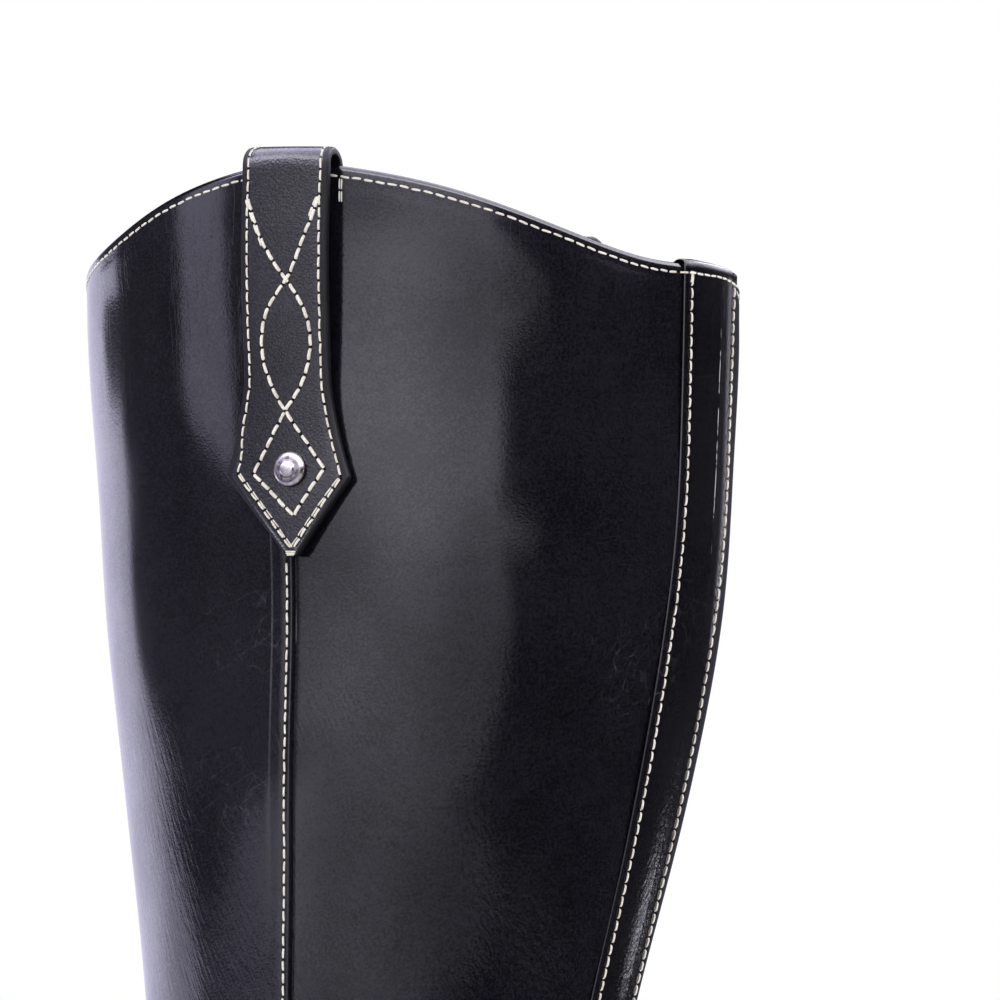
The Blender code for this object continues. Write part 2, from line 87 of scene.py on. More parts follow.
# Foot, ankle and shaft sections in mm, as in the part's source.
STATIONS = (0.0, 0.13, 0.40, 0.70, 0.90, 1.0)
FOOT_COLUMNS = ("back", "back_height", "front", "front_height", "sole_share", "heel_radius", "heel",
                "waist_in", "waist_out", "ball_in", "ball_out", "toe_in", "toe_out", "toe_radius")
FOOT_SECTIONS = (
    (3.0, 0.0, 278.0, 0.0, 1.00, 25.0, 27.5, 22.5, 29.0, 40.0, 44.0, 21.5, 23.5, 7.0),
    (1.2, 53.5, 279.4, 22.0, 0.96, 26.0, 29.5, 26.5, 31.0, 42.0, 45.8, 23.0, 25.0, 7.5),
    (0.2, 61.0, 273.6, 30.6, 0.86, 26.5, 30.5, 29.5, 32.5, 41.0, 44.6, 22.8, 24.8, 8.0),
    (0.3, 70.0, 257.5, 40.4, 0.66, 26.0, 30.8, 31.5, 33.8, 35.8, 38.8, 21.5, 23.5, 8.0),
    (2.5, 82.0, 236.0, 50.0, 0.46, 25.0, 30.2, 32.5, 34.4, 31.8, 34.2, 21.0, 22.5, 8.0),
    (6.0, 94.0, 212.0, 61.4, 0.30, 23.0, 29.2, 33.5, 35.0, 30.6, 32.2, 20.5, 21.5, 8.0),
    (9.8, 107.0, 186.5, 78.0, 0.18, 20.5, 27.6, 35.0, 36.0, 31.5, 32.5, 20.3, 21.0, 9.0),
)
OVAL_COLUMNS = ("back", "back_height", "front", "front_height", "half_width")
ANKLE_SECTIONS = (
    (13.0, 122.0, 161.5, 97.5, 37.4),
    (15.2, 140.0, 140.5, 121.0, 38.8),
    (15.4, 161.0, 124.5, 151.0, 40.7),
    (12.0, 186.0, 117.8, 182.0, 43.3),
)
SHAFT_SECTIONS = (
    (7.2, 210.0, 118.2, 210.0, 46.5),
    (-2.5, 245.0, 122.3, 245.0, 51.3),
    (-12.3, 285.0, 127.0, 285.0, 55.2),
    (-17.5, 325.0, 130.8, 325.0, 57.8),
    (-18.5, 365.0, 133.8, 365.0, 60.0),
    (-20.6, 395.0, 134.2, 395.0, 63.4),
)
SHAFT_SHARES = (0.0, 0.2, 0.4, 0.6, 0.8, 1.0)
SOLE_ROW = (-1.0, 0.0, 284.0, 0.0, 1.0, 26.5, 29.6, 25.0, 31.6, 45.0, 49.2, 26.5, 28.5, 11.0)

# Straps in mm: distance below the collar, half width, stand-off from the shaft, shift behind the side seam or
# inward of the middle of the back, and drop for each mm across towards the back.
STRAP_COLUMNS = ("below", "half_width", "stand_off", "shift", "slant")
PULL_STRAP_ROWS = (
    (0.0, 10.1, 1.9, 3.5, 0.0),
    (22.0, 10.1, 2.2, 2.6, 0.02),
    (42.0, 10.1, 1.4, 1.9, 0.05),
    (50.0, 10.4, 0.8, 1.4, 0.06),
    (58.0, 12.0, 0.3, 0.7, 0.08),
    (64.0, 13.5, 0.1, 0.4, 0.08),
    (68.0, 15.0, 0.0, 0.0, 0.08),
    (68.8, 14.8, 0.0, 0.0, 0.08),
    (86.0, 2.0, 0.0, 0.9, 0.08),
    (86.8, 1.2, 0.0, 0.9, 0.08),
)
PULL_RISE = 1.6 * MM
PULL_INNER = 48.0 * MM
BACK_STRAP_ROWS = (
    (0.0, 12.2, 0.0, -1.2, 0.0),
    (45.0, 11.3, 0.0, -1.9, 0.0),
    (80.0, 11.2, 0.0, -1.9, 0.0),
    (120.0, 10.9, 0.0, -0.7, 0.0),
    (150.0, 10.5, 0.0, 0.3, 0.0),
    (180.0, 10.2, 0.0, 0.2, 0.0),
    (250.0, 10.6, 0.0, 0.0, 0.0),
    (326.0, 15.0, 0.0, 0.0, 0.0),
)
BACK_RISE = 0.1 * MM
BACK_INNER = 10.0 * MM
RIVET_BELOW = 67.8 * MM
RIVET_BACK = 1.5 * MM
RIVET_RADIUS = 3.85 * MM
RIVET_CROWN = 1.9 * MM

# Thread: pitch, visible length and radius of one stitch, in metres.
FINE_STITCH = (2.72 * MM, 2.36 * MM, 0.26 * MM)
HEAVY_STITCH = (3.05 * MM, 2.78 * MM, 0.41 * MM)
TACK_STITCH = (2.8 * MM, 2.5 * MM, 0.18 * MM)
TIP_STITCH = (4.0 * MM, 3.6 * MM, 0.19 * MM)
WELT_STITCH = (3.4 * MM, 2.8 * MM, 0.45 * MM)

# Distances in metres from a cut edge to the stitch line beside it.
COLLAR_MARGIN = 2.3 * MM
SEAM_FRONT = -0.15 * MM
SEAM_MARGIN = 1.6 * MM
STRAP_MARGIN = 1.7 * MM
STRAP_CORNER_MARGINS = {-1: 3.2 * MM, 1: 1.9 * MM}
STRAP_CORNER_FROM = 58.0 * MM
STRAP_CORNER_REACH = 10.0 * MM
BACK_MARGINS = {-1: 1.7 * MM, 1: 3.8 * MM}
SPINE_OFFSET = 1.2 * MM
RIDGE_MARGIN = 5.7 * MM

# Low relief, as height or depth and half width in metres.
LAP_ROUNDING = 0.45 * MM
LAP_SWELL = 0.16 * MM
LAP_RIDGE = (0.07 * MM, 0.26 * MM)
MEETING_LINE = (0.06 * MM, 0.35 * MM)
MEETING_LINE_BACK = 0.25 * MM
SEAM_GROOVE = (0.12 * MM, 0.5 * MM)
COLLAR_GROOVE = (0.12 * MM, 0.7 * MM)
PULL_STRAP_GROOVE = (0.16 * MM, 0.6 * MM)
BACK_STRAP_GROOVE = (0.14 * MM, 0.6 * MM)
BACK_STRAP_SPINE = (0.06 * MM, 0.7 * MM)
BACK_STRAP_PARING = (0.5 * MM, 1.5 * MM)

# The creases fade out over these distances below the collar and above the sole. Each has a ridge above it, as
# a share of its depth, at a number of its half widths.
COLLAR_FADE = 14.0 * MM
SOLE_FADE = 12.0 * MM
CREASE_RIDGE = 0.55
CREASE_RIDGE_AWAY = 1.9

# Creases and soft folds of the upper: turn in degrees, height in mm, half length in degrees, half width in
# mm, climb in mm per degree along the crease, depth in mm.
CREASES = (
    (0, 150, 46, 5.5, 0.00, 1.5),
    (12, 170, 40, 6.0, -0.10, 1.0),
    (-14, 131, 42, 5.0, 0.08, 1.2),
    (4, 112, 40, 4.5, 0.05, 0.8),
    (66, 141, 30, 5.0, -0.22, 1.0),
    (74, 163, 28, 6.0, -0.26, 0.8),
    (-68, 143, 30, 5.0, 0.22, 1.0),
    (-76, 167, 28, 6.0, 0.25, 0.8),
    (166, 139, 26, 4.5, 0.10, 0.7),
    (-164, 152, 26, 5.0, -0.10, 0.6),
    (18, 58, 30, 3.5, 0.10, 0.5),
    (-20, 63, 32, 3.5, -0.08, 0.5),
)

# Broad soft swellings: turn in degrees, height in mm, half width in degrees, half height in mm, rise in mm.
SWELLINGS = (
    (150, 362, 11, 26, 0.55),
    (148, 276, 12, 26, 0.45),
    (118, 330, 14, 40, 0.30),
    (66, 300, 12, 50, -0.25),
)

# Slow waves of the leather: waves round the boot, waves up each metre, phase, height in mm.
WAVES = (
    (2, 14.0, 0.4, 0.16),
    (3, -11.0, 2.1, 0.14),
    (5, 7.0, 4.0, 0.09),
    (4, 19.0, 1.2, 0.08),
    (7, -16.0, 5.2, 0.05),
)


def spline(knots, values, places):
    """Natural cubic curve through values at knots, read at places; values may be rows of points."""
    knots = np.asarray(knots, float)
    values = np.asarray(values, float)
    count = len(knots)
    flat = values.reshape(count, -1)
    gaps = np.diff(knots)
    matrix = np.eye(count)
    right = np.zeros_like(flat)
    for k in range(1, count - 1):
        matrix[k, k - 1:k + 2] = gaps[k - 1], 2 * (gaps[k - 1] + gaps[k]), gaps[k]
        right[k] = 6 * ((flat[k + 1] - flat[k]) / gaps[k] - (flat[k] - flat[k - 1]) / gaps[k - 1])
    bend = np.linalg.solve(matrix, right)
    places = np.asarray(places, float)
    at = places.ravel()
    k = np.clip(np.searchsorted(knots, at) - 1, 0, count - 2)
    gap = gaps[k][:, None]
    low = (knots[k + 1] - at)[:, None] / gap
    high = 1 - low
    curve = low * flat[k] + high * flat[k + 1]
    curve += ((low**3 - low) * bend[k] + (high**3 - high) * bend[k + 1]) * gap**2 / 6
    return curve.reshape(places.shape + values.shape[1:])


def smooth_step(share):
    """0 below 0, 1 above 1, and three squares less two cubes between."""
    share = np.clip(share, 0, 1)
    return share * share * (3 - 2 * share)


def bump_of(distance, half_width):
    """Bell curve: e to the minus square of distance over half width."""
    return np.exp(-(distance / half_width)**2)


def bell(distance, size):
    """Bell curve of a height and a half width."""
    height, half_width = size
    return height * bump_of(distance, half_width)


def unit(vectors):
    """Vectors drawn out or in to a length of one."""
    return vectors / np.linalg.norm(vectors, axis=-1, keepdims=True)


def run_lengths(points):
    """Distance along a row of points, from the first to each of them."""
    return np.concatenate([[0], np.cumsum(np.linalg.norm(np.diff(points, axis=0), axis=1))])


def column(rows, columns, name):
    """One column of a table in mm, as metres."""
    return np.array([row[columns.index(name)] for row in rows], float) * MM


# Sole profile and sections, by the formulas of the part's source

def sole_bottom(along):
    """Underside of the outsole: flat under the ball, curling up to the toe and rising to the heel seat."""
    along = np.asarray(along, float)
    spring = TOE_SPRING * (np.clip(along - FLAT_TO, 0, None) / (SOLE_TIP - FLAT_TO))**TOE_CURVE
    seat = HEEL_HEIGHT - SEAT_SLOPE * (along - SOLE_BACK)
    rise = smooth_step((FLAT_FROM - along) / (FLAT_FROM - SEAT_LENGTH + SEAT_EASE))
    return spring + np.where(along < FLAT_FROM, seat * rise, 0)


def sole_top(along):
    """Upper face of the outsole: its underside and the thickness."""
    return sole_bottom(along) + OUTSOLE_THICK


def feather_height(along):
    """Height of the upper's lower edge, which stands on the welt."""
    return sole_top(along) + WELT_THICK + 2 * GAP


def half_width(share, turn, row):
    """Half width of a foot section at a share of its length: a smooth factor times an oval's half width."""
    value = dict(zip(FOOT_COLUMNS, row))
    length = value["front"] - value["back"]
    oval = 2 * np.sqrt(np.array(STATIONS[1:-1]) * (1 - np.array(STATIONS[1:-1])))
    heel_end = math.sqrt(value["heel_radius"] * length / 2)
    toe_end = math.sqrt(value["toe_radius"] * length / 2)
    factors = []
    for side in ("_out", "_in"):
        widths = [value["heel"], value["waist" + side], value["ball" + side], value["toe" + side]]
        factors.append(spline(STATIONS, [heel_end, *(widths / oval), toe_end], share))
    return np.where(np.sin(turn) >= 0, *factors) * np.sin(turn) * MM


def foot_plan(turn, row):
    """Plan of a foot section: distance forward and distance to the outer side."""
    back, front = row[0] * MM, row[2] * MM
    share = (1 + np.cos(turn)) / 2
    return back + (front - back) * share, half_width(share, turn, row)


def inset_plan(turn, row, inset):
    """Plan of a foot section drawn in by an even distance along its own normals."""
    along, side = foot_plan(turn, row)
    step = 1e-3
    ahead, behind = foot_plan(turn + step, row), foot_plan(turn - step, row)
    run_along, run_side = ahead[0] - behind[0], ahead[1] - behind[1]
    length = np.hypot(run_along, run_side)
    return along - inset * run_side / length, side + inset * run_along / length


def foot_section(turn, row):
    """Foot section: its plan, at a height between a straight chord and the curve of the sole."""
    value = dict(zip(FOOT_COLUMNS, row))
    along, side = foot_plan(turn, row)
    feather = FOOT_SECTIONS[0]
    if row is feather:
        return np.stack([along, side, feather_height(along)], -1)
    share = (1 + np.cos(turn)) / 2
    ends = feather_height(np.array([feather[0], feather[2]]) * MM)
    place = (feather[0] + (feather[2] - feather[0]) * share) * MM
    sole_curve = feather_height(place) - (ends[0] + (ends[1] - ends[0]) * share)
    chord = (value["back_height"] + (value["front_height"] - value["back_height"]) * share) * MM
    return np.stack([along, side, chord + value["sole_share"] * sole_curve], -1)


def oval_section(turn, back, back_height, front, front_height, half):
    """Oval between a point on the back line and a point on the front line."""
    share = (1 + np.cos(turn)) / 2
    along = back + (front - back) * share
    height = back_height + (front_height - back_height) * share
    return np.stack([along, half * np.sin(turn), height], -1)


def collar_height(turn):
    """The collar is highest at the two sides and dips at the front and the back."""
    turns, dips = np.array(COLLAR_DIPS, float).T
    around = np.concatenate([-turns[:0:-1], turns, 360 - turns[-2::-1]])
    dip = spline(around, np.concatenate([dips[:0:-1], dips, dips[-2::-1]]), np.degrees(turn) % 360)
    return SHAFT_HEIGHT - dip * MM


def shaft_section(turn, share):
    """Oval at a share of the way from the calf to the collar, so the upper sections dip with the collar."""
    heights = column(SHAFT_SECTIONS, OVAL_COLUMNS, "back_height")
    height = heights[0] + (collar_height(turn) - heights[0]) * share
    back, front, half = (spline(heights, column(SHAFT_SECTIONS, OVAL_COLUMNS, name), height)
                         for name in ("back", "front", "half_width"))
    return oval_section(turn, back, height, front, height, half)


def all_sections(turn):
    """Points of every section at each turn, from the sole edge to the collar."""
    rows = [foot_section(turn, row) for row in FOOT_SECTIONS]
    rows += [oval_section(turn, *(np.array(row) * MM)) for row in ANKLE_SECTIONS]
    rows += [shaft_section(turn, share) for share in SHAFT_SHARES]
    return np.stack(rows)


def section_places():
    """Where each section lies between sole edge, 0, and collar, 1: its mean distance up the boot."""
    points = all_sections(np.linspace(0, ROUND, 48, endpoint=False))
    steps = np.linalg.norm(np.diff(points, axis=0), axis=-1).mean(axis=1)
    return np.concatenate([[0], np.cumsum(steps)]) / steps.sum()


PLACES = section_places()


def wall(turn, climb):
    """Smooth outer face at a turn round the boot and a climb up it: sections joined by cubic curves."""
    turn, climb = np.asarray(turn, float), np.asarray(climb, float)
    weights = spline(PLACES, np.eye(len(PLACES)), climb)
    points = np.moveaxis(all_sections(turn), 0, -2)
    return np.einsum("...k,...kd->...d", weights, points)


def wall_normal(turn, climb):
    """Cross product of the way round and the way up, by small differences."""
    step = 1e-4
    around = wall(turn + step, climb) - wall(turn - step, climb)
    upward = wall(turn, np.minimum(climb + step, 1)) - wall(turn, np.maximum(climb - step, 0))
    return unit(np.cross(around, upward))


def turn_per_length(turn, climb):
    """Turn round the boot for each metre walked along the wall, by small differences."""
    step = 1e-4
    return 2 * step / np.linalg.norm(wall(turn + step, climb) - wall(turn - step, climb), axis=-1)


def run_below_collar(turn):
    """Climbs from the collar down along one turn, and the distance down the boot at each of them."""
    climbs = np.linspace(1, 0, 401)
    return climbs, run_lengths(wall(np.full_like(climbs, turn), climbs))


RUNS = {turn: run_below_collar(turn) for turn in (*SIDES.values(), math.pi)}
MIDDLE = (SOLE_TIP + wall(math.pi, 1.0)[0] - GAP - BACK_STRAP_THICK) / 2


def to_boot(points):
    """(forward, outward, up) as X, Y, Z of the boot's own frame."""
    return np.stack([points[..., 1], MIDDLE - points[..., 0], points[..., 2]], -1)


# Relief of the upper

CLIMB_TABLE = np.linspace(0, 1, 201)
SEAM_LENGTH = {side: 1 / turn_per_length(np.full_like(CLIMB_TABLE, turn), CLIMB_TABLE)
               for side, turn in SIDES.items()}
TURN_TABLE = np.linspace(0, ROUND, 181)
COLLAR_LENGTH = np.linalg.norm(wall(TURN_TABLE, 1.0) - wall(TURN_TABLE, 0.999), axis=-1) / 0.001


def seam_reach(turn, climb):
    """Distance behind the nearer lapped edge, below 0 on the front panel: turn from it times length per
    turn."""
    turn = np.mod(turn, ROUND)
    outer = (turn - QUARTER) * np.interp(climb, CLIMB_TABLE, SEAM_LENGTH["outer"])
    inner = (3 * QUARTER - turn) * np.interp(climb, CLIMB_TABLE, SEAM_LENGTH["inner"])
    return np.where(turn < math.pi, outer, inner) + SEAM_FRONT


def collar_reach(turn, climb):
    """Distance below the collar: the climb that is left times the length of a whole climb there."""
    return (1 - climb) * np.interp(np.mod(turn, ROUND), TURN_TABLE, COLLAR_LENGTH)


def lap_relief(reach):
    """Front panel's own thickness with a rounded cut edge, a groove for the thread, the edge of the leather
    below showing through as a low ridge from which the lap rises, and a shallow line where the two panels
    meet."""
    past_rounding = np.clip(reach + LAP_ROUNDING, 0, None) / LAP_ROUNDING
    edge = np.sqrt(np.clip(1 - past_rounding**2, 0, 1))
    swell = LAP_SWELL * smooth_step(1 + reach / RIDGE_MARGIN)
    relief = (LAP_STEP + swell) * np.where(reach < 0, edge, 0)
    relief -= bell(reach + SEAM_MARGIN, SEAM_GROOVE)
    relief += bell(reach + RIDGE_MARGIN, LAP_RIDGE)
    return relief - bell(reach - MEETING_LINE_BACK, MEETING_LINE)


def degrees_from(turn, at):
    """Degrees of a turn from a place round the boot, the shorter way."""
    return np.degrees(np.mod(turn - math.radians(at) + math.pi, ROUND) - math.pi)


def crease_relief(turn, height):
    """Listed troughs, each a bell curve across and along itself with a low ridge above it, broad
    swellings that are bell curves both ways, and slow waves."""
    relief = np.zeros(np.broadcast(turn, height).shape)
    for at, level, half_length, half, slope, depth in CREASES:
        away = degrees_from(turn, at)
        across = height / MM - level - slope * away
        ridge = CREASE_RIDGE * bump_of(across - CREASE_RIDGE_AWAY * half, half)
        relief -= depth * MM * bump_of(away, half_length) * (bump_of(across, half) - ridge)
    for at, level, half_turn, half_height, rise in SWELLINGS:
        away = degrees_from(turn, at)
        relief += rise * MM * bump_of(away, half_turn) * bump_of(height / MM - level, half_height)
    for around, upward, phase, size in WAVES:
        relief += size * MM * np.sin(around * turn + upward * ROUND * height + phase)
    return relief


def skin(turn, climb):
    """Points and normals of the upper's outer face: the smooth wall lifted along its normal by the relief."""
    base, normal = wall(turn, climb), wall_normal(turn, climb)
    reach, below = seam_reach(turn, climb), collar_reach(turn, climb)
    fade = smooth_step(below / COLLAR_FADE)
    low = smooth_step((base[..., 2] - feather_height(base[..., 0])) / SOLE_FADE)
    relief = lap_relief(reach) + crease_relief(turn, base[..., 2]) * fade * low
    relief -= bell(below - COLLAR_MARGIN, COLLAR_GROOVE)
    return base + normal * relief[..., None], normal


# Meshes

def grid_quads(rows, across, upward=False):
    """Corners of a grid's quads. The last column is joined to the first; upward joins the last row to the
    first."""
    row, col = np.meshgrid(np.arange(rows if upward else rows - 1), np.arange(across), indexing="ij")
    low, high, right = row * across, (row + 1) % rows * across, (col + 1) % across
    return np.stack([low + col, low + right, high + right, high + col], -1).reshape(-1, 4)


def face_out(points, faces):
    """Turns all faces round if the volume they enclose, summed over fans of triangles, is below zero."""
    volume = 0.0
    for size in {len(face) for face in faces}:
        ring = points[np.array([face for face in faces if len(face) == size])]
        volume += np.einsum("nd,nkd->", ring[:, 0], np.cross(ring[:, 1:-1], ring[:, 2:]))
    return faces if volume > 0 else [face[::-1] for face in faces]


def put_in_scene(name, data):
    """New object at the origin."""
    made = bpy.data.objects.new(name, data)
    bpy.context.scene.collection.objects.link(made)
    return made


def add_piece(name, points, faces, materials, node=None, sharp=38.0, uv=None, zones=None):
    """Makes a piece of the boot from points in its (forward, outward, up) frame and lists of corners. Edges
    that bend by more degrees than sharp stay sharp; zones are the faces' numbers in the list of materials."""
    points = to_boot(np.asarray(points, float).reshape(-1, 3))
    faces = face_out(points, [list(face) for face in faces])
    mesh = bpy.data.meshes.new(name)
    mesh.from_pydata(points.tolist(), [], faces)
    for material in materials:
        mesh.materials.append(material)
    if zones is not None:
        mesh.polygons.foreach_set("material_index", np.asarray(zones, np.int32))
    if uv is not None:
        corners = np.zeros(len(mesh.loops), np.int32)
        mesh.loops.foreach_get("vertex_index", corners)
        layer = mesh.uv_layers.new(name="along_round")
        layer.data.foreach_set("uv", np.asarray(uv, np.float32)[corners].ravel())
    mesh.shade_smooth()
    mesh.set_sharp_from_angle(angle=math.radians(sharp))
    made = put_in_scene(name, mesh)
    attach(made, "root")
    if node:
        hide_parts(node)
    return made


def loop_with_caps(points):
    """Faces of rows of closed profiles, with the first and the last profile filled."""
    rows, across = points.shape[:2]
    faces = grid_quads(rows, across).tolist()
    return faces + [list(range(across)), list(range((rows - 1) * across, rows * across))[::-1]]


# Upper

UPPER_COLUMNS = 232
UPPER_ROWS = 236
LINING_ROWS = 44
RIM_ROWS = 8
RIM_DEPTH = 1.1 * MM

# Columns beside a lapped edge, in mm behind it, and the climb at which they are measured.
LAP_COLUMNS = (-6.7, -6.3, -6.0, -5.85, -5.7, -5.55, -5.4, -5.1, -3.8, -2.6, -2.1, -1.6, -1.2, -0.8, -0.45,
               -0.3, -0.16, -0.06, -0.01, 0.01, 0.15, 0.35, 0.6, 1.0, 1.8)
LAP_COLUMNS_CLIMB = 0.9


def upper_turns():
    """Columns round the upper: even steps, crowded at the two lapped edges."""
    even = np.arange(UPPER_COLUMNS) * ROUND / UPPER_COLUMNS
    length = np.interp(LAP_COLUMNS_CLIMB, CLIMB_TABLE, SEAM_LENGTH["outer"])
    near = (np.array(LAP_COLUMNS) * MM - SEAM_FRONT) / length
    seams = [QUARTER + near, np.sort(3 * QUARTER - near)]
    spare = 0.3 * ROUND / UPPER_COLUMNS
    clear = np.all([(even < seam[0] - spare) | (even > seam[-1] + spare) for seam in seams], axis=0)
    return np.sort(np.concatenate([even[clear], *seams]))


def make_upper(leather, lining):
    """One closed shell: up the outer face, over a half-round rim, down the inside and across the lower
    edge."""
    turns = upper_turns()[None, :]
    top = 1 - RIM_DEPTH / COLLAR_LENGTH.mean()
    climbs = np.linspace(0, top, UPPER_ROWS)[:, None]
    outer, _ = skin(turns, climbs)
    outer[0, :, 2] = feather_height(outer[0, :, 0])
    downs = np.linspace(top, 0, LINING_ROWS)[:, None]
    inner = wall(turns, downs) - wall_normal(turns, downs) * UPPER_WALL
    inner[-1, :, 2] = feather_height(inner[-1, :, 0])
    middle, reach = (outer[-1] + inner[0]) / 2, (outer[-1] - inner[0]) / 2
    rise = wall(turns, 1.0)[0] - wall(turns, top)[0]
    bend = np.linspace(0, math.pi, RIM_ROWS + 2)[1:-1, None, None]
    rim = middle + reach * np.cos(bend) + rise * np.sin(bend)
    rows = np.concatenate([outer, rim, inner])
    count, across = rows.shape[:2]
    faces = grid_quads(count, across, upward=True)
    zones = np.repeat(np.arange(count) > len(outer) + len(rim) - 2, across)
    add_piece("boot_upper", rows, faces, (leather, lining), "upper", zones=zones)


# Straps

# Column of a strap's profile at which the painted edge begins, number of points round a rounded edge, height
# of the widest part of the cut side as a share of the thickness, and radius over which the fold is walked.
EDGE_COLUMN = 29
CORNER_POINTS = 4
CUT_SIDE_LOW = 0.15
FOLD_RADIUS = 2.2 * MM
FOLD_ROWS = 13

# Distances between a strap's rows outside and inside the shaft.
PULL_STRAP_SPACING = 1.1 * MM
BACK_STRAP_SPACING = 1.6 * MM
INSIDE_SPACING = 3.0 * MM


def strap_measure(rows, name, below):
    """A strap's measure at a distance below the collar: smooth down to its widest row, straight beyond it."""
    at, values = column(rows, STRAP_COLUMNS, "below"), column(rows, STRAP_COLUMNS, name)
    widest = int(np.argmax(column(rows, STRAP_COLUMNS, "half_width")))
    last = widest + 1 if widest not in (0, len(at) - 1) else len(at)
    smooth = spline(at[:last], values[:last], np.minimum(below, at[last - 1]))
    return np.where(below > at[last - 1], np.interp(below, at, values), smooth)


class Strap:
    """A band that runs up the outside of the shaft, folds over the collar and goes a way down the inside."""

    def __init__(self, turn, rows, rise, inner, lap, thick, press, rounding, lean=0.0):
        """Press is the share of the fold's height that is left where it is hammered down, rounding the edges'
        radius. The fold is no lower than the collar at the strap's middle and falls by the lean to the
        back."""
        self.turn, self.rows, self.rise, self.inner = turn, rows, rise, inner
        self.lap, self.thick, self.press = lap, thick, press
        self.rounding, self.lean = rounding, lean
        self.crest = float(collar_height(turn))
        self.length = rows[-1][0] * MM
        self.rear = np.sign(math.pi - turn) if turn != math.pi else 1.0
        self.fold = math.pi * FOLD_RADIUS

    def half(self, run):
        """Half width at a run, which is the collar's from there on."""
        return strap_measure(self.rows, "half_width", np.clip(-run, 0, self.length))

    def point(self, run, offset, lift):
        """Point at a run along the strap, an offset towards the back of the boot and a lift over its under
        face. Run is minus the distance below the collar outside, then the fold's half ellipse, then the
        inside."""
        run, offset, lift = np.broadcast_arrays(*(np.asarray(v, float) for v in (run, offset, lift)))
        climbs, lengths = RUNS[self.turn]
        place = np.clip(-run, 0, None)
        drop = offset * strap_measure(self.rows, "slant", place) / MM
        below = np.where(run < 0, place + drop, np.clip(run - self.fold, 0, None))
        climb = np.interp(below, lengths, climbs)
        shift = strap_measure(self.rows, "shift", place)
        reach = (offset + shift) * self.rear
        turn = self.turn + reach * turn_per_length(np.full_like(climb, self.turn), climb)
        base, normal = wall(turn, climb), wall_normal(turn, climb)
        stand = GAP + self.lap + strap_measure(self.rows, "stand_off", place)
        outside = base + normal * (stand + lift)[..., None]
        inside = base - normal * (UPPER_WALL + 2 * GAP + lift)[..., None]
        flat = normal * [1, 1, 0]
        depth = UPPER_WALL + 2 * GAP + stand
        middle = base + flat * (stand - depth / 2)[..., None]
        angle = np.clip(run / self.fold, 0, 1) * math.pi
        over = middle + flat * ((depth / 2 + lift) * np.cos(angle))[..., None]
        dip = np.maximum(self.crest - self.lean * offset - base[..., 2], 0)
        over[..., 2] += (dip + (self.rise + GAP + lift) * self.press) * np.sin(angle)
        folded = np.where((run > self.fold)[..., None], inside, over)
        return np.where((run < 0)[..., None], outside, folded)

    def normal(self, run, offset):
        """Direction in which a small lift moves a point."""
        return unit(self.point(run, offset, 1e-4) - self.point(run, offset, 0))

    def runs(self, spacing):
        """Runs of the rows from the lower end, up and over, to the inner end."""
        outside = -np.linspace(self.length, 0, int(self.length / spacing) + 1)
        corners = -column(self.rows, STRAP_COLUMNS, "below")
        over = np.linspace(0, self.fold, FOLD_ROWS)
        inside = self.fold + np.linspace(0, self.inner, int(self.inner / INSIDE_SPACING) + 2)
        return np.unique(np.concatenate([outside, corners, over, inside]).round(6))

    def solid(self, spacing, crown):
        """Closed profile carried along the strap: an upper face with the crown's relief, rounded edges and a
        flat back, each point with an offset across and a lift. The map gives offset and run in
        centimetres."""
        shares = np.linspace(-1, 1, EDGE_COLUMN + 2)
        corner = np.linspace(0, QUARTER, CORNER_POINTS)[1:]
        runs = self.runs(spacing)[:, None]
        half = self.half(runs)
        inset = np.minimum(self.rounding, 0.4 * half)
        flat = (half - inset) * shares
        top = self.thick + crown(flat, half)
        edge_out = (half - inset) + inset * np.sin(corner)
        edge_up = self.thick - self.rounding * (1 - np.cos(corner)) + crown(half, half)
        low = np.full_like(half, CUT_SIDE_LOW * self.thick)
        under = half - inset / 2
        offset = np.concatenate([flat, edge_out, half, under, -under, -half, -edge_out[:, ::-1]], axis=1)
        lift = np.concatenate([top, edge_up, low, 0 * low, 0 * low, low, edge_up[:, ::-1]], axis=1)
        uv = np.stack(np.broadcast_arrays(offset, runs), -1) / CENTIMETRE
        return self.point(runs, offset, lift), uv.reshape(-1, 2)


def strap_piece(name, strap, node, materials, spacing, crown):
    """A strap's solid. Its second material, where it has one, is the paint on the rounded edges and the
    ends."""
    points, uv = strap.solid(spacing, crown)
    rows, across = points.shape[:2]
    columns = np.arange(across)
    painted = np.concatenate([np.tile((columns >= EDGE_COLUMN) | (columns == 0), rows - 1), [True, True]])
    add_piece(name, points, loop_with_caps(points), materials, node, uv=uv,
              zones=painted * (len(materials) - 1))


def edge_margin(edge, run):
    """Distance of a pull strap's edge row from the edge: wider at the corners of the point."""
    corner = smooth_step((-run - STRAP_CORNER_FROM) / STRAP_CORNER_REACH)
    return STRAP_MARGIN + corner * (STRAP_CORNER_MARGINS[edge] - STRAP_MARGIN)


def pull_crown(offset, half):
    """Flat face, drawn in along the two rows of edge stitches."""
    return -bell(np.abs(offset) - (half - STRAP_MARGIN), PULL_STRAP_GROOVE)


def back_crown(offset, half):
    """Flat band pared thin at its edges, with a thin raised spine along it and a groove under each stitch
    row."""
    crown = bell(offset - SPINE_OFFSET, BACK_STRAP_SPINE) - bell(np.abs(offset) - half, BACK_STRAP_PARING)
    for edge, margin in BACK_MARGINS.items():
        crown = crown - bell(offset - edge * (half - margin), BACK_STRAP_GROOVE)
    return crown


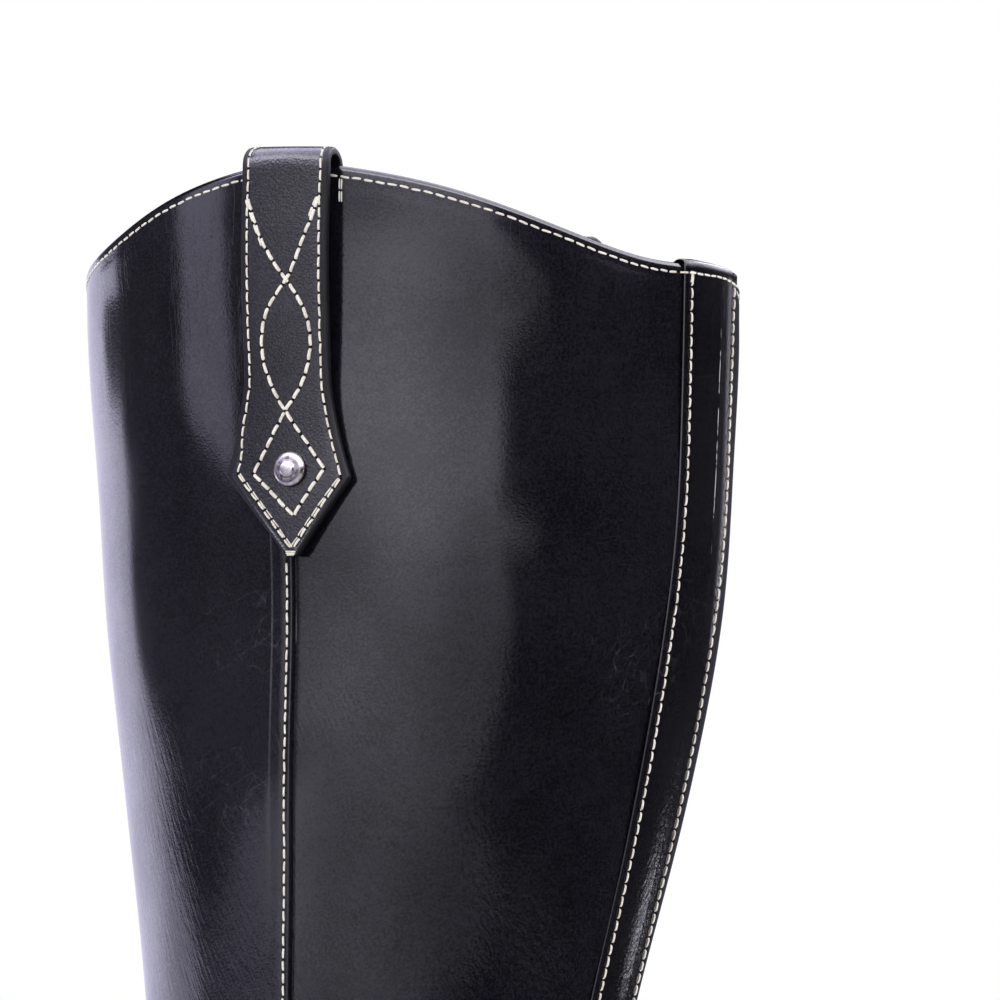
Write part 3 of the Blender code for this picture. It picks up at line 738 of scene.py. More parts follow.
PULL_STRAPS = {side: Strap(turn, PULL_STRAP_ROWS, PULL_RISE, PULL_INNER, LAP_STEP, PULL_STRAP_THICK,
                           press=0.88, rounding=0.64 * MM, lean=0.075)
               for side, turn in SIDES.items()}
BACK_STRAP = Strap(math.pi, BACK_STRAP_ROWS, BACK_RISE, BACK_INNER, 0.0, BACK_STRAP_FACE,
                   press=0.45, rounding=0.5 * MM)


# Rivets

# Shares of the rivet's radius and crown: a flat boss, a sunk ring round it and a rounded rim.
RIVET_PROFILE = ((0.03, 1.06), (0.34, 1.05), (0.41, 1.01), (0.445, 0.93), (0.465, 0.82), (0.50, 0.78),
                 (0.58, 0.78), (0.68, 0.76), (0.78, 0.72), (0.87, 0.62), (0.945, 0.44), (0.985, 0.26),
                 (1.0, 0.12), (0.99, 0.03), (0.93, 0.0), (0.03, 0.0))
RIVET_SIDES = 48


def make_rivet(side, metal):
    """Turned cap: shares of radius and height carried round the strap's normal, with turn and radius as
    map."""
    strap = PULL_STRAPS[side]
    seat = strap.point(-RIVET_BELOW, RIVET_BACK, PULL_STRAP_THICK + GAP)
    axis = strap.normal(-RIVET_BELOW, RIVET_BACK)
    across = unit(np.cross(axis, [0, 0, 1.0]))
    upward = np.cross(across, axis)
    share, height = np.array(RIVET_PROFILE).T[:, :, None]
    around = np.linspace(0, ROUND, RIVET_SIDES, endpoint=False)[None, :]
    disc = across * np.cos(around)[..., None] + upward * np.sin(around)[..., None]
    points = seat + disc * (share * RIVET_RADIUS)[..., None] + axis * (height * RIVET_CROWN)[..., None]
    uv = np.stack(np.broadcast_arrays(around / ROUND, share), -1).reshape(-1, 2)
    add_piece(side + "_rivet", points, loop_with_caps(points), (metal,), "rivet_" + side,
              sharp=60, uv=uv)


# Stitches

# Rings along half a stitch and their sizes, the size in thread radii of the needle hole's patch of painted
# shade, and its lift off the leather.
RINGS = np.array([-1.0, -0.86, -0.5, 0.0, 0.5, 0.86, 1.0])
RING_SIZES = np.array([0.6, 0.9, 1.0, 1.0, 1.0, 0.9, 0.6])
RING_SIDES = 6
HOLE_LENGTH = 1.3
HOLE_WIDTH = 1.05
HOLE_LIFT = 0.03 * MM

# A stitch's longest share of the pitch, its height for its width, and its rise and sinking in thread radii.
STITCH_SHARE = 0.94
STITCH_FLATNESS = 0.85
STITCH_RISE = 0.35
STITCH_SINK = 1.25

# Random spread of a stitch's length, lean, place to the side and thickness.
LENGTH_SPREAD = 0.04
LEAN_SPREAD = 0.07
SIDE_SPREAD = 0.07 * MM
THICKNESS_SPREAD = 0.08

# First random seed of each kind of stitch row.
SEEDS = {"collar": 10, "collar tack": 16, "side seam": 20, "strap edge": 30, "point": 34, "point twin": 36,
         "knot": 40, "diamond": 44, "tip": 48, "knot start": 52, "back edge": 50, "back top": 54,
         "back tack": 56, "welt": 60}


def stitch_row(path, normal, kind, seed):
    """Stitches along a path: each is a short round thread laid on the chord between its two holes, whose ends
    sink into the leather with the fifth power of the distance from its middle. Length, lean, place and
    thickness vary a little at random. Each stitch has a needle hole behind it, a flat six-sided patch on the
    leather painted dull black as the shade inside the hole."""
    pitch, length, radius = kind
    run = run_lengths(path)
    count = max(1, int(round(run[-1] / pitch)))
    step = run[-1] / count
    centre = (np.arange(count) + 0.5) * step
    draw = np.random.default_rng(seed).uniform(-1, 1, (4, count))
    half = min(length, STITCH_SHARE * step) / 2 * (1 + LENGTH_SPREAD * draw[0])

    def on_path(values, at):
        return np.stack([np.interp(at, run, values[:, d]) for d in range(3)], -1)

    ends = [on_path(path, centre + sign * half) for sign in (-1, 1)]
    up = unit(on_path(normal, centre))
    tangent = unit(ends[1] - ends[0])
    side = np.cross(up, tangent)
    angle = np.arange(RING_SIDES) * ROUND / RING_SIDES
    # Flat patch painted dull black as the shade of the needle hole.
    hole_at = (on_path(path, centre - step / 2) + up * HOLE_LIFT)[:, None]
    hole = hole_at + radius * (tangent[:, None] * np.cos(angle)[:, None] * HOLE_LENGTH
                               + side[:, None] * np.sin(angle)[:, None] * HOLE_WIDTH)
    tangent = tangent + side * (LEAN_SPREAD * draw[1])[:, None]
    middle = (ends[0] + ends[1]) / 2 + side * (SIDE_SPREAD * draw[2])[:, None]
    ring = RINGS[None, :, None, None]
    thickness = (radius * (1 + THICKNESS_SPREAD * draw[3]))[:, None, None, None]
    round_size = thickness * RING_SIZES[None, :, None, None]
    sideways = round_size * np.cos(angle)[None, None, :, None]
    lift = round_size * np.sin(angle)[None, None, :, None] * STITCH_FLATNESS
    lift = lift + radius * (STITCH_RISE - STITCH_SINK * np.abs(ring)**5)
    points = (middle[:, None, None] + tangent[:, None, None] * half[:, None, None, None] * ring
              + side[:, None, None] * sideways + up[:, None, None] * lift)
    along = np.broadcast_to(ring[..., 0] * length / radius / 6, points.shape[:3])
    uv = np.stack([along, np.broadcast_to(angle / ROUND, points.shape[:3])], -1)
    points = np.concatenate([points.reshape(count, -1, 3), hole], axis=1)
    return points, np.concatenate([uv.reshape(count, -1, 2), np.zeros((count, RING_SIDES, 2))], axis=1)


def stitch_faces():
    """Corners of one stitch: its tube, its two ends and the flat patch of painted shade at its needle hole.
    """
    size = len(RINGS) * RING_SIDES
    ends = [list(range(RING_SIDES)), list(range(size - RING_SIDES, size))[::-1]]
    return grid_quads(len(RINGS), RING_SIDES).tolist() + ends + [list(range(size, size + RING_SIDES))]


def thread_piece(name, rows, thread):
    """Joins rows of stitches into one piece, thread first and the painted shade of the needle holes as its
    second finish.
    """
    points = np.concatenate([row[0] for row in rows])
    uv = np.concatenate([row[1] for row in rows]).reshape(-1, 2)
    count, size = points.shape[:2]
    pattern = stitch_faces()
    faces = [[corner + k * size for corner in face] for k in range(count) for face in pattern]
    zones = np.tile([0] * (len(pattern) - 1) + [1], count)
    add_piece(name, points, faces, thread, sharp=80, uv=uv, zones=zones)


def turn_at(turn, reach, climb=1.0):
    """Turn that lies a reach behind a turn, measured round the boot at a climb."""
    return turn + reach * float(turn_per_length(np.array(turn), np.array(climb)))


# Collar rows: the turn at which each begins and a distance behind it in mm, and the same for its end. The
# tack behind a pull strap has two rows, at distances behind the side seam and between distances below the
# collar.
COLLAR_ROWS = ((-QUARTER, 4.6, QUARTER, -4.6), (QUARTER, 11.4, math.pi, -15.0),
               (math.pi, 11.1, 3 * QUARTER, -11.4))
COLLAR_TACK_BACK = (14.2, 14.7)
COLLAR_TACK_BELOW = (2.6, 8.2)


def make_collar_thread(thread):
    """Row below the collar from under each strap to the next, and a short tack behind each pull strap."""
    rows = []
    for seed, (start, after, end, before) in enumerate(COLLAR_ROWS, SEEDS["collar"]):
        turns = np.linspace(turn_at(start, after * MM), turn_at(end, before * MM), 160)
        climbs = 1 - COLLAR_MARGIN / np.interp(np.mod(turns, ROUND), TURN_TABLE, COLLAR_LENGTH)
        rows.append(stitch_row(*skin(turns, climbs), FINE_STITCH, seed))
    for seed, (turn, way) in enumerate(((QUARTER, 1), (3 * QUARTER, -1)), SEEDS["collar tack"]):
        climbs, lengths = RUNS[turn]
        climbs = np.interp(np.linspace(*COLLAR_TACK_BELOW, 12) * MM, lengths, climbs)
        for back in COLLAR_TACK_BACK:
            turns = np.full_like(climbs, turn_at(turn, way * back * MM))
            rows.append(stitch_row(*skin(turns, climbs), TACK_STITCH, seed))
    thread_piece("collar_thread", rows, thread)


SEAM_ROW_BELOW = 87.5 * MM
SEAM_ROW_LOWEST = 0.008


def make_seam_thread(thread):
    """One row beside each lapped edge, from the strap's tip to the sole."""
    rows = []
    for seed, (side, turn) in enumerate(SIDES.items(), SEEDS["side seam"]):
        climbs, lengths = RUNS[turn]
        climbs = climbs[(lengths > SEAM_ROW_BELOW) & (climbs > SEAM_ROW_LOWEST)]
        back = -(SEAM_MARGIN + SEAM_FRONT) / np.interp(climbs, CLIMB_TABLE, SEAM_LENGTH[side])
        turns = turn + back * (1 if side == "outer" else -1)
        rows.append(stitch_row(*skin(turns, climbs), FINE_STITCH, seed))
    thread_piece("side_seam_thread", rows, thread)


# Lines sewn on a pull strap, in mm: offset towards the back, distance below the collar. The rows of the point
# have a finer twin beside them. The tack at the tip lists each bar's distance below the collar and half
# length.
KNOT_LINE = ((-8.3, 7.2), (-6.4, 13.0), (-3.4, 19.6), (1.0, 26.0), (4.6, 31.5), (6.3, 38.5), (5.4, 45.0),
             (2.9, 51.0), (0.1, 55.0))
KNOT_LINE_BACK = ((8.4, 7.0), (6.7, 12.0), (4.2, 18.4), (1.0, 26.0), (-2.8, 31.0), (-5.1, 37.5), (-4.9, 44.0),
                  (-2.6, 50.5), (0.1, 55.0))
DIAMOND_SIDES = (((0.1, 55.0), (-7.7, 68.6)), ((-7.7, 68.6), (1.3, 78.0)),
                 ((0.1, 55.0), (9.3, 67.2)), ((9.3, 67.2), (1.3, 78.0)))
POINT_SIDES = (((-11.8, 68.3), (0.1, 85.2)), ((13.1, 68.8), (0.8, 85.0)))
POINT_TWIN = 0.5
KNOT_STARTS = (((-8.9, 7.2), (-7.1, 12.6), (-4.6, 18.6)), ((7.9, 7.2), (6.0, 12.0)))
TIP_TACK = ((85.9, 1.4), (86.3, 1.3), (86.6, 1.0))
LINE_SPACING = 0.4 * MM
EDGE_ROW_BELOW = 68.2 * MM
EDGE_ROW_INSIDE = 6.0 * MM


def sew(strap, run, offset, kind, seed):
    """Row of stitches on a strap's upper face, along runs and offsets."""
    return stitch_row(strap.point(run, offset, strap.thick), strap.normal(run, offset), kind, seed)


def sew_line(strap, line, kind, seed, curved=False):
    """Row of stitches on a strap's upper face through points of a table, joined straight or by a cubic
    curve."""
    line = np.array(line) * MM
    length = run_lengths(line)
    at = np.linspace(0, length[-1], int(length[-1] / LINE_SPACING) + 2)
    offset, below = (spline(length, line, at) if curved else
                     np.stack([np.interp(at, length, line[:, d]) for d in range(2)], -1)).T
    return sew(strap, -below, offset, kind, seed)


def make_pull_strap_thread(side, thread):
    """Edge rows up both sides and over the fold, doubled rows along the point, the crossing ornament, a
    diamond and a tack."""
    strap = PULL_STRAPS[side]
    rows = []
    for seed, edge in enumerate((-1, 1), SEEDS["strap edge"]):
        run = np.linspace(-EDGE_ROW_BELOW, strap.fold + EDGE_ROW_INSIDE, 320)
        rows.append(sew(strap, run, edge * (strap.half(run) - edge_margin(edge, run)), FINE_STITCH, seed))
    for k, line in enumerate(POINT_SIDES):
        away = math.copysign(POINT_TWIN, line[0][0])
        twin = tuple((offset - away, below - 0.5 * POINT_TWIN) for offset, below in line)
        rows.append(sew_line(strap, line, FINE_STITCH, SEEDS["point"] + k))
        rows.append(sew_line(strap, twin, TACK_STITCH, SEEDS["point twin"] + k))
    for seed, line in enumerate((KNOT_LINE, KNOT_LINE_BACK), SEEDS["knot"]):
        rows.append(sew_line(strap, line, HEAVY_STITCH, seed, curved=True))
    for seed, line in enumerate(DIAMOND_SIDES, SEEDS["diamond"]):
        rows.append(sew_line(strap, line, HEAVY_STITCH, seed))
    for seed, line in enumerate(KNOT_STARTS, SEEDS["knot start"]):
        rows.append(sew_line(strap, line, FINE_STITCH, seed))
    for seed, (below, half) in enumerate(TIP_TACK, SEEDS["tip"]):
        rows.append(sew_line(strap, ((-half, below), (half, below)), TIP_STITCH, seed))
    thread_piece(side + "_pull_strap_thread", rows, thread)


# Rows on the back strap: where the edge rows stop short of its ends, in metres; then in mm the ends of the
# row across its top, the runs of the tack and the offsets of its two rows.
BACK_ROW_LOW = 3.0 * MM
BACK_ROW_HIGH = 0.4 * MM
BACK_TOP_ROW = (-13.6, 11.2)
BACK_TACK_RUNS = (-4.6, -1.6)
BACK_TACK_OFFSETS = (-10.6, -10.1)


def make_back_thread(thread):
    """A row along each edge of the back strap, one across its top, which steps down to the shaft where it
    passes the strap's edge, and a tack where the outer two meet."""
    strap = BACK_STRAP
    rows = []
    for seed, (edge, margin) in enumerate(BACK_MARGINS.items(), SEEDS["back edge"]):
        run = np.linspace(-strap.length + BACK_ROW_LOW, -COLLAR_MARGIN - BACK_ROW_HIGH, 500)
        rows.append(sew(strap, run, edge * (strap.half(run) - margin), FINE_STITCH, seed))
    offset = np.linspace(*BACK_TOP_ROW, 60) * MM
    run = np.full_like(offset, -COLLAR_MARGIN)
    lift = strap.thick * smooth_step(0.6 + (offset + strap.half(run)) / MM)
    path = strap.point(run, offset, lift)
    rows.append(stitch_row(path, strap.normal(run, offset), FINE_STITCH, SEEDS["back top"]))
    run = np.linspace(*BACK_TACK_RUNS, 12) * MM
    for seed, offset in enumerate(BACK_TACK_OFFSETS, SEEDS["back tack"]):
        rows.append(sew(strap, run, np.full_like(run, offset * MM), TACK_STITCH, seed))
    thread_piece("back_strap_thread", rows, thread)


# Sole pieces

SOLE_TURNS = np.linspace(0, ROUND, 240, endpoint=False)

# Edges as inset and height in mm. The outsole has rounded corners and a shallow line between its two layers.
# Welt and insole are measured over the outsole, the top lift over the floor.
OUTSOLE_EDGE = ((3.0, 0.0), (0.5, 0.0), (0.12, 0.25), (0.0, 0.6), (0.0, 2.6), (0.22, 2.75), (0.0, 2.9),
                (0.0, 4.4), (0.12, 4.75), (0.5, 5.0), (3.0, 5.0))
WELT_EDGE = ((0.55, 0.0), (0.5, 0.3), (0.5, 2.1), (0.62, 2.45), (0.95, 2.6), (1.5, 2.6), (1.75, 2.4),
             (2.0, 2.6))
WELT_INNER_EDGE = ((2.5, 2.6), (2.5, 0.0))
INSOLE_EDGE = ((3.0, 0.0), (3.0, 4.1), (3.3, 4.8), (4.2, 5.0))
TOP_LIFT_EDGE = ((0.3, 6.0), (0.0, 5.7), (0.0, 0.5), (0.5, 0.0))
WELT_THREAD_INSET = 1.75 * MM
WELT_THREAD_SINK = 0.12 * MM

# The heel's lifts: their number, the depth of the groove between two and its half height as a share of the
# heel.
HEEL_LIFTS = 6
LIFT_GROOVE = 0.22 * MM
LIFT_GROOVE_HALF = 0.012


def closed_stack(levels, strips):
    """Faces between outlines stacked on each other, the two ends closed by strips that run straight
    across."""
    rows, across = levels.shape[:2]
    last = (rows - 1) * across
    top = [[last + corner for corner in strip[::-1]] for strip in strips]
    return grid_quads(rows, across).tolist() + strips + top


def outline_stack(levels):
    """Stack of closed outlines, each with as many points on its left as on its right."""
    across = levels.shape[1]
    near = np.arange(across // 2)
    strips = np.stack([near, near + 1, (across - near - 1) % across, (across - near) % across], -1)
    return closed_stack(levels, [list(dict.fromkeys(strip)) for strip in strips.tolist()])


def breast_stack(levels):
    """Stack of outlines that start and end at the two corners of the heel's breast."""
    across = levels.shape[1]
    near = np.arange(across // 2 - 1)
    strips = np.stack([near, near + 1, across - near - 2, across - near - 1], -1)
    return closed_stack(levels, strips.tolist())


def sole_levels(row, edge, base=0.0):
    """Outlines of an edge, each drawn in by its inset and lifted over the sole's curve by the base and its
    height."""
    levels = []
    for inset, height in np.array(edge) * MM:
        along, side = inset_plan(SOLE_TURNS, row, inset) if inset else foot_plan(SOLE_TURNS, row)
        levels.append(np.stack([along, side, sole_bottom(along) + base + height], -1))
    return np.stack(levels)


def make_outsole(leather):
    """Outlines of its edge stacked on each other, each drawn in by its inset."""
    levels = sole_levels(SOLE_ROW, OUTSOLE_EDGE)
    add_piece("leather_outsole", levels, outline_stack(levels), (leather,), "outsole")


def make_welt(leather):
    """Profile carried round: a rounded outer edge, a top with a groove for the thread, and the hidden inner
    edge."""
    base = OUTSOLE_THICK + GAP
    levels = np.concatenate([sole_levels(SOLE_ROW, WELT_EDGE, base),
                             sole_levels(FOOT_SECTIONS[0], WELT_INNER_EDGE, base)])
    faces = grid_quads(*levels.shape[:2], upward=True)
    add_piece("stitched_welt", levels, faces, (leather,), "welt")


def make_welt_thread(thread):
    """One row all round in the groove of the welt."""
    along, side = inset_plan(np.linspace(0, ROUND, 900), SOLE_ROW, WELT_THREAD_INSET)
    height = sole_bottom(along) + OUTSOLE_THICK + GAP + WELT_THICK - WELT_THREAD_SINK
    path = np.stack([along, side, height], -1)
    up = np.broadcast_to([0.0, 0.0, 1.0], path.shape)
    thread_piece("welt_thread", [stitch_row(path, up, WELT_STITCH, SEEDS["welt"])], thread)


def make_insole(leather):
    """Outlines inside the upper's lower edge, stacked and rounded at the top."""
    levels = sole_levels(FOOT_SECTIONS[0], INSOLE_EDGE, OUTSOLE_THICK + GAP)
    add_piece("leather_insole", levels, outline_stack(levels), (leather,), "insole")


def heel_plan(share, inset):
    """Heel outline at a share of its height: raked at the back, tapered at the sides, drawn in by an
    inset."""
    breast = math.acos(2 * (SEAT_LENGTH - SOLE_BACK) / (SOLE_TIP - SOLE_BACK) - 1)
    turns = np.linspace(breast, ROUND - breast, 120)
    seat_along, seat_side = inset_plan(turns, SOLE_ROW, HEEL_INSET)
    curve = 1 - (1 - share)**HEEL_CURVE
    back = SOLE_BACK + HEEL_RAKE * curve + inset
    breast_at = SEAT_LENGTH - BREAST_SLOPE * curve - inset
    place = (seat_along - seat_along.min()) / np.ptp(seat_along)
    along = back + (breast_at - back) * place
    side = seat_side * (1 - (1 - HEEL_TAPER) * curve)
    return along, side * (1 - inset / HEEL_HALF), seat_along


def make_heel(leather):
    """Lifts on each other, a fine groove between each pair: outlines from the seat down to the top lift."""
    floor = TOP_LIFT_THICK + GAP
    rows = [(0.0, 0.0)]
    for k in range(1, HEEL_LIFTS):
        rows += [(k / HEEL_LIFTS + step * LIFT_GROOVE_HALF, LIFT_GROOVE * (step == 0)) for step in (-1, 0, 1)]
    levels = []
    for share, inset in rows + [(1.0, 0.0)]:
        along, side, seat_along = heel_plan(share, inset)
        seat = sole_bottom(along if share == 0 else seat_along) - GAP
        levels.append(np.stack([along, side, seat + (floor - seat) * share], -1))
    levels = np.stack(levels)
    add_piece("stacked_heel", levels, breast_stack(levels), (leather,), "heel_stack",
              sharp=30)


def make_top_lift(rubber):
    """Outlines of the heel at its foot, stacked between heel and floor."""
    levels = []
    for inset, height in np.array(TOP_LIFT_EDGE) * MM:
        along, side, _ = heel_plan(1.0, inset)
        levels.append(np.stack([along, side, np.full_like(along, height)], -1))
    levels = np.stack(levels)
    add_piece("rubber_top_lift", levels, breast_stack(levels), (rubber,), "top_lift", sharp=30)


# Finishes

class Value:
    """A socket that takes part in sums, differences, products and quotients by adding Math nodes."""

    def __init__(self, finish, socket):
        self.finish, self.socket = finish, socket

    def math(self, operation, *others):
        """Math node on this value and others."""
        return self.finish.node("ShaderNodeMath", {"operation": operation}, dict(enumerate((self, *others))))

    def reflected(self, operation, other):
        """Math node with this value as the second."""
        return self.finish.node("ShaderNodeMath", {"operation": operation}, {0: other, 1: self})

    def __add__(self, other):
        return self.math("ADD", other)

    def __sub__(self, other):
        return self.math("SUBTRACT", other)

    def __rsub__(self, other):
        return self.reflected("SUBTRACT", other)

    def __mul__(self, other):
        return self.math("MULTIPLY", other)

    def __truediv__(self, other):
        return self.math("DIVIDE", other)

    def __rtruediv__(self, other):
        return self.reflected("DIVIDE", other)

    __radd__, __rmul__ = __add__, __mul__


class Finish:
    """A node tree under construction."""

    def __init__(self, tree):
        self.tree = tree
        tree.nodes.clear()

    def node(self, kind, settings=None, sockets=None, out=0):
        """Adds a node: first its settings, then the values or links of its sockets; gives one of its
        outputs."""
        made = self.tree.nodes.new(kind)
        for key, value in (settings or {}).items():
            if key == "stops":
                ramp = made.color_ramp
                while len(ramp.elements) < len(value):
                    ramp.elements.new(0.5)
                for element, (place, colour) in zip(ramp.elements, value):
                    element.position = place
                    element.color = (*colour, 1)
            else:
                setattr(made, key, value)
        for key, value in (sockets or {}).items():
            if isinstance(value, Value):
                self.tree.links.new(value.socket, made.inputs[key])
            else:
                made.inputs[key].default_value = value
        return Value(self, made.outputs[out]) if len(made.outputs) else None

    def outputs(self, kind, settings=None, sockets=None):
        """All outputs of a new node, by name or number."""
        return self.node(kind, settings, sockets).socket.node.outputs

    def place(self, kind="Object"):
        return self.node("ShaderNodeTexCoord", out=kind)

    def parts(self, vector):
        """The three numbers of a vector."""
        return [Value(self, socket) for socket in self.outputs("ShaderNodeSeparateXYZ", {}, {0: vector})]

    def mapped(self, place, scale=(1.0, 1.0, 1.0), rotation=(0.0, 0.0, 0.0)):
        return self.node("ShaderNodeMapping", {}, {"Vector": place, "Scale": scale, "Rotation": rotation})

    def noise(self, place, scale, detail=2.0, rough=0.5):
        return self.node("ShaderNodeTexNoise", {}, {"Vector": place, "Scale": scale, "Detail": detail,
                                                    "Roughness": rough})

    def span(self, value, low, high, to_low=0.0, to_high=1.0):
        """Value between low and high as a share between to_low and to_high, smoothed and clamped."""
        return self.node("ShaderNodeMapRange", {"interpolation_type": "SMOOTHSTEP"}, {
            "Value": value, "From Min": low, "From Max": high, "To Min": to_low, "To Max": to_high})

    def window(self, value, start, full, full_end, end):
        """0 before the start, 1 while the value is between full and full end, 0 past the end."""
        return self.span(value, start, full) * self.span(value, end, full_end)

    def mix(self, share, first, second):
        return self.node("ShaderNodeMix", {"data_type": "RGBA"}, {0: share, 6: first, 7: second}, out=2)

    def bump(self, height, strength, distance):
        return self.node("ShaderNodeBump", {}, {"Height": height, "Strength": strength, "Distance": distance})

    def level_line(self, place, scale, width, detail=4.0):
        """Thin lines where a noise passes its middle level: 1 on the line, 0 beside it."""
        away = self.noise(place, scale, detail, 0.62) - 0.5
        return self.span(away.math("ABSOLUTE"), 0.0, width, 1.0, 0.0)

    def hairs(self, place, lean, scale):
        """Long hair-fine scratches: level lines of a noise drawn out along a direction that leans by three
        angles."""
        drawn_out = self.mapped(self.mapped(place, rotation=lean), (1.0, 1.0, HAIR_STRETCH))
        return self.level_line(drawn_out, scale, HAIR_WIDTH, 1.0)

    def patch(self, place, middle, reach):
        """Round patch with a soft edge: 1 within four tenths of its reach from the middle, 0 past its
        reach."""
        away = self.node("ShaderNodeVectorMath", {"operation": "DISTANCE"}, {0: place, 1: middle}, out=1)
        return self.span(away, reach, 0.4 * reach)

    def principled(self, sockets):
        shader = self.node("ShaderNodeBsdfPrincipled", {}, sockets)
        self.node("ShaderNodeOutputMaterial", {}, {"Surface": shader})


def new_finish(name):
    material = bpy.data.materials.new(name)
    material.use_nodes = True
    return material, Finish(material.node_tree)


def rgb(red, green, blue):
    return (red, green, blue, 1.0)


# Closeness to each other of the marks on polished leather, per metre.
PORES = 1900.0
FIBRES = 1000.0
MOTTLES = 300.0
WRINKLES = 230.0
CLOUDS = 26.0

# Height of the grain, lean of the fibres in radians, shares by which fibres and wrinkles are drawn out
# upward, and width of a wrinkle in the noise that draws it.
GRAIN_HEIGHT = 0.16
FIBRE_LEAN = (-0.35, 0.0, 0.0)
FIBRE_STRETCH = 0.13
WRINKLE_STRETCH = 0.07
WRINKLE_WIDTH = 0.018

# Heights in metres between which the wrinkles below the collar and the coarse fibres low on the shaft set in.
WRINKLE_HEIGHTS = (0.330, 0.365)
COARSE_HEIGHTS = (0.290, 0.265)

# Patches of hair-fine scratches, as a middle and a reach in metres, and how the scratches lean in radians,
# with their closeness to each other per metre.
HAIR_PATCHES = ((0.0548, 0.0620, 0.291, 0.018), (0.0512, 0.0550, 0.256, 0.019),
                (0.0190, 0.1390, 0.281, 0.019), (0.0060, 0.1470, 0.297, 0.015))
HAIR_LEANS = (((0.5, 0.2, 0.3), 150.0), ((-0.7, 0.4, 1.1), 170.0), ((1.3, -0.5, 0.2), 130.0))
HAIR_ELSEWHERE = 0.06
HAIR_STRETCH = 0.17
HAIR_WIDTH = 0.012

# Painted highlights and puckers of the back strap in centimetres on its map: runs over which the painted
# highlight line along its crease lasts, offset of the stitch row on the inner side, with its puckers and
# painted glints, runs at which they end below and set in above, and waves of a pucker.
HIGHLIGHT_LINE_RUNS = (-7.4, -4.8, -2.4, -0.8)
PUCKER_OFFSET = 0.76
PUCKER_END = (-9.0, -7.8)
PUCKER_START = (-1.8, -3.6)
GLINT_START = (-3.4, -5.6)
PUCKER_RATE = ROUND * CENTIMETRE / FINE_STITCH[0]
SCRATCH_COLOUR = rgb(0.060, 0.056, 0.068)
# Pale colour painted on the back strap as a highlight along its crease and as glints by its stitches.
PAINTED_HIGHLIGHT_COLOUR = rgb(0.62, 0.61, 0.67)


def strap_highlights_and_puckers(f, place, cloud, highlight_line):
    """Painted highlights along a strap: a thin broken pale line at an offset, painted where light catches its
    crease, and pale painted glints and puckers beside its stitch row on the inner side. Gives the share of
    painted highlight and the height of the puckers, which follow a sine with one wave a stitch."""
    offset, run, _ = f.parts(f.place("UV"))
    aside = (offset + (cloud - 0.5) * 0.12 - highlight_line).math("ABSOLUTE")
    broken = f.span(f.noise(place, 380.0, 3.0), 0.40, 0.56)
    # Painted highlight: a broken pale line along the strap's crease.
    painted_highlight = f.span(aside, 0.005, 0.021, 1.0, 0.0) * broken * f.window(run, *HIGHLIGHT_LINE_RUNS)
    beside = (offset - PUCKER_OFFSET).math("ABSOLUTE")
    by_row = f.span(beside, 0.04, 0.26, 1.0, 0.0) * f.span(run, *PUCKER_END)
    # Painted glints: pale flecks beside the stitch row.
    painted_glints = f.span(f.noise(f.mapped(place, (1.0, 1.0, 0.4)), 1500.0, 1.0), 0.53, 0.62)
    painted_glints = painted_glints * by_row * f.span(run, *GLINT_START) * 0.6
    pucker = by_row * f.span(run, *PUCKER_START) * (run * PUCKER_RATE).math("SINE")
    uneven = f.span(f.noise(place, 190.0, 2.0), 0.36, 0.62, 0.1, 1.0)
    return f.span(painted_highlight + painted_glints, 0.0, 1.0), pucker * uneven


def gloss_leather(name, dark, pale, gloss, grain, lines, highlight_line=None):
    """Smooth polished leather: fine pores and speckle, fibres that lean up the leg and are coarser low on the
    shaft, thin wrinkles below the collar, hair-fine scratches in patches, and colour and gloss that are
    mottled and cloudy. A highlight line adds a strap's painted highlight line and painted glints, with
    puckers, at that offset in centimetres on its map."""
    material, f = new_finish(name)
    place = f.place()
    height = f.parts(place)[2]
    pores = f.node("ShaderNodeTexVoronoi", {}, {"Vector": place, "Scale": PORES})
    speckle = f.noise(place, PORES, 2.0, 0.6)
    leaning = f.mapped(place, rotation=FIBRE_LEAN)
    fibre = f.noise(f.mapped(leaning, (1.0, 1.0, FIBRE_STRETCH)), FIBRES, 2.0, 0.6)
    cloud = f.noise(place, CLOUDS, 3.0, 0.55)
    mottle = f.noise(place, MOTTLES, 2.0, 0.6)
    hair = sum((f.hairs(place, lean, scale) for lean, scale in HAIR_LEANS), 0.0)
    hair = hair * sum((f.patch(place, middle, reach) for *middle, reach in HAIR_PATCHES), HAIR_ELSEWHERE)
    wrinkle = f.level_line(f.mapped(place, (1.0, 1.0, WRINKLE_STRETCH)), WRINKLES, WRINKLE_WIDTH)
    wrinkle = wrinkle * f.span(height, *WRINKLE_HEIGHTS)
    coarse = f.span(height, *COARSE_HEIGHTS)
    rough_grain = GRAIN_HEIGHT * grain
    relief = (pores * rough_grain + speckle * rough_grain + fibre * (coarse * 1.3 + 0.12) - hair * lines
              - wrinkle * 0.12 + cloud * 0.5)
    tone = f.span(speckle * 0.65 + mottle * 0.1 + cloud * 0.25, 0.40, 0.60)
    worn = f.span(hair * 0.25 + wrinkle * 0.14, 0.0, 1.0)
    colour = f.mix(worn, f.mix(tone, dark, pale), SCRATCH_COLOUR)
    if highlight_line is not None:
        painted_highlight, pucker = strap_highlights_and_puckers(f, place, cloud, highlight_line)
        # Painted highlight and painted glints mixed into the leather's colour.
        colour = f.mix(painted_highlight, colour, PAINTED_HIGHLIGHT_COLOUR)
        relief = relief + pucker
    rough = f.span(cloud, 0.25, 0.75, gloss - 0.02, gloss + 0.04) + worn * 0.05
    coat = f.span(speckle * 0.4 + mottle * 0.1 + cloud * 0.5, 0.40, 0.60, 0.0, 0.34)
    f.principled({"Base Color": colour, "Roughness": rough, "Normal": f.bump(relief, 0.22, 0.00022),
                  "IOR": 1.5, "Coat Weight": coat, "Coat Roughness": gloss, "Coat IOR": 1.5})
    return material


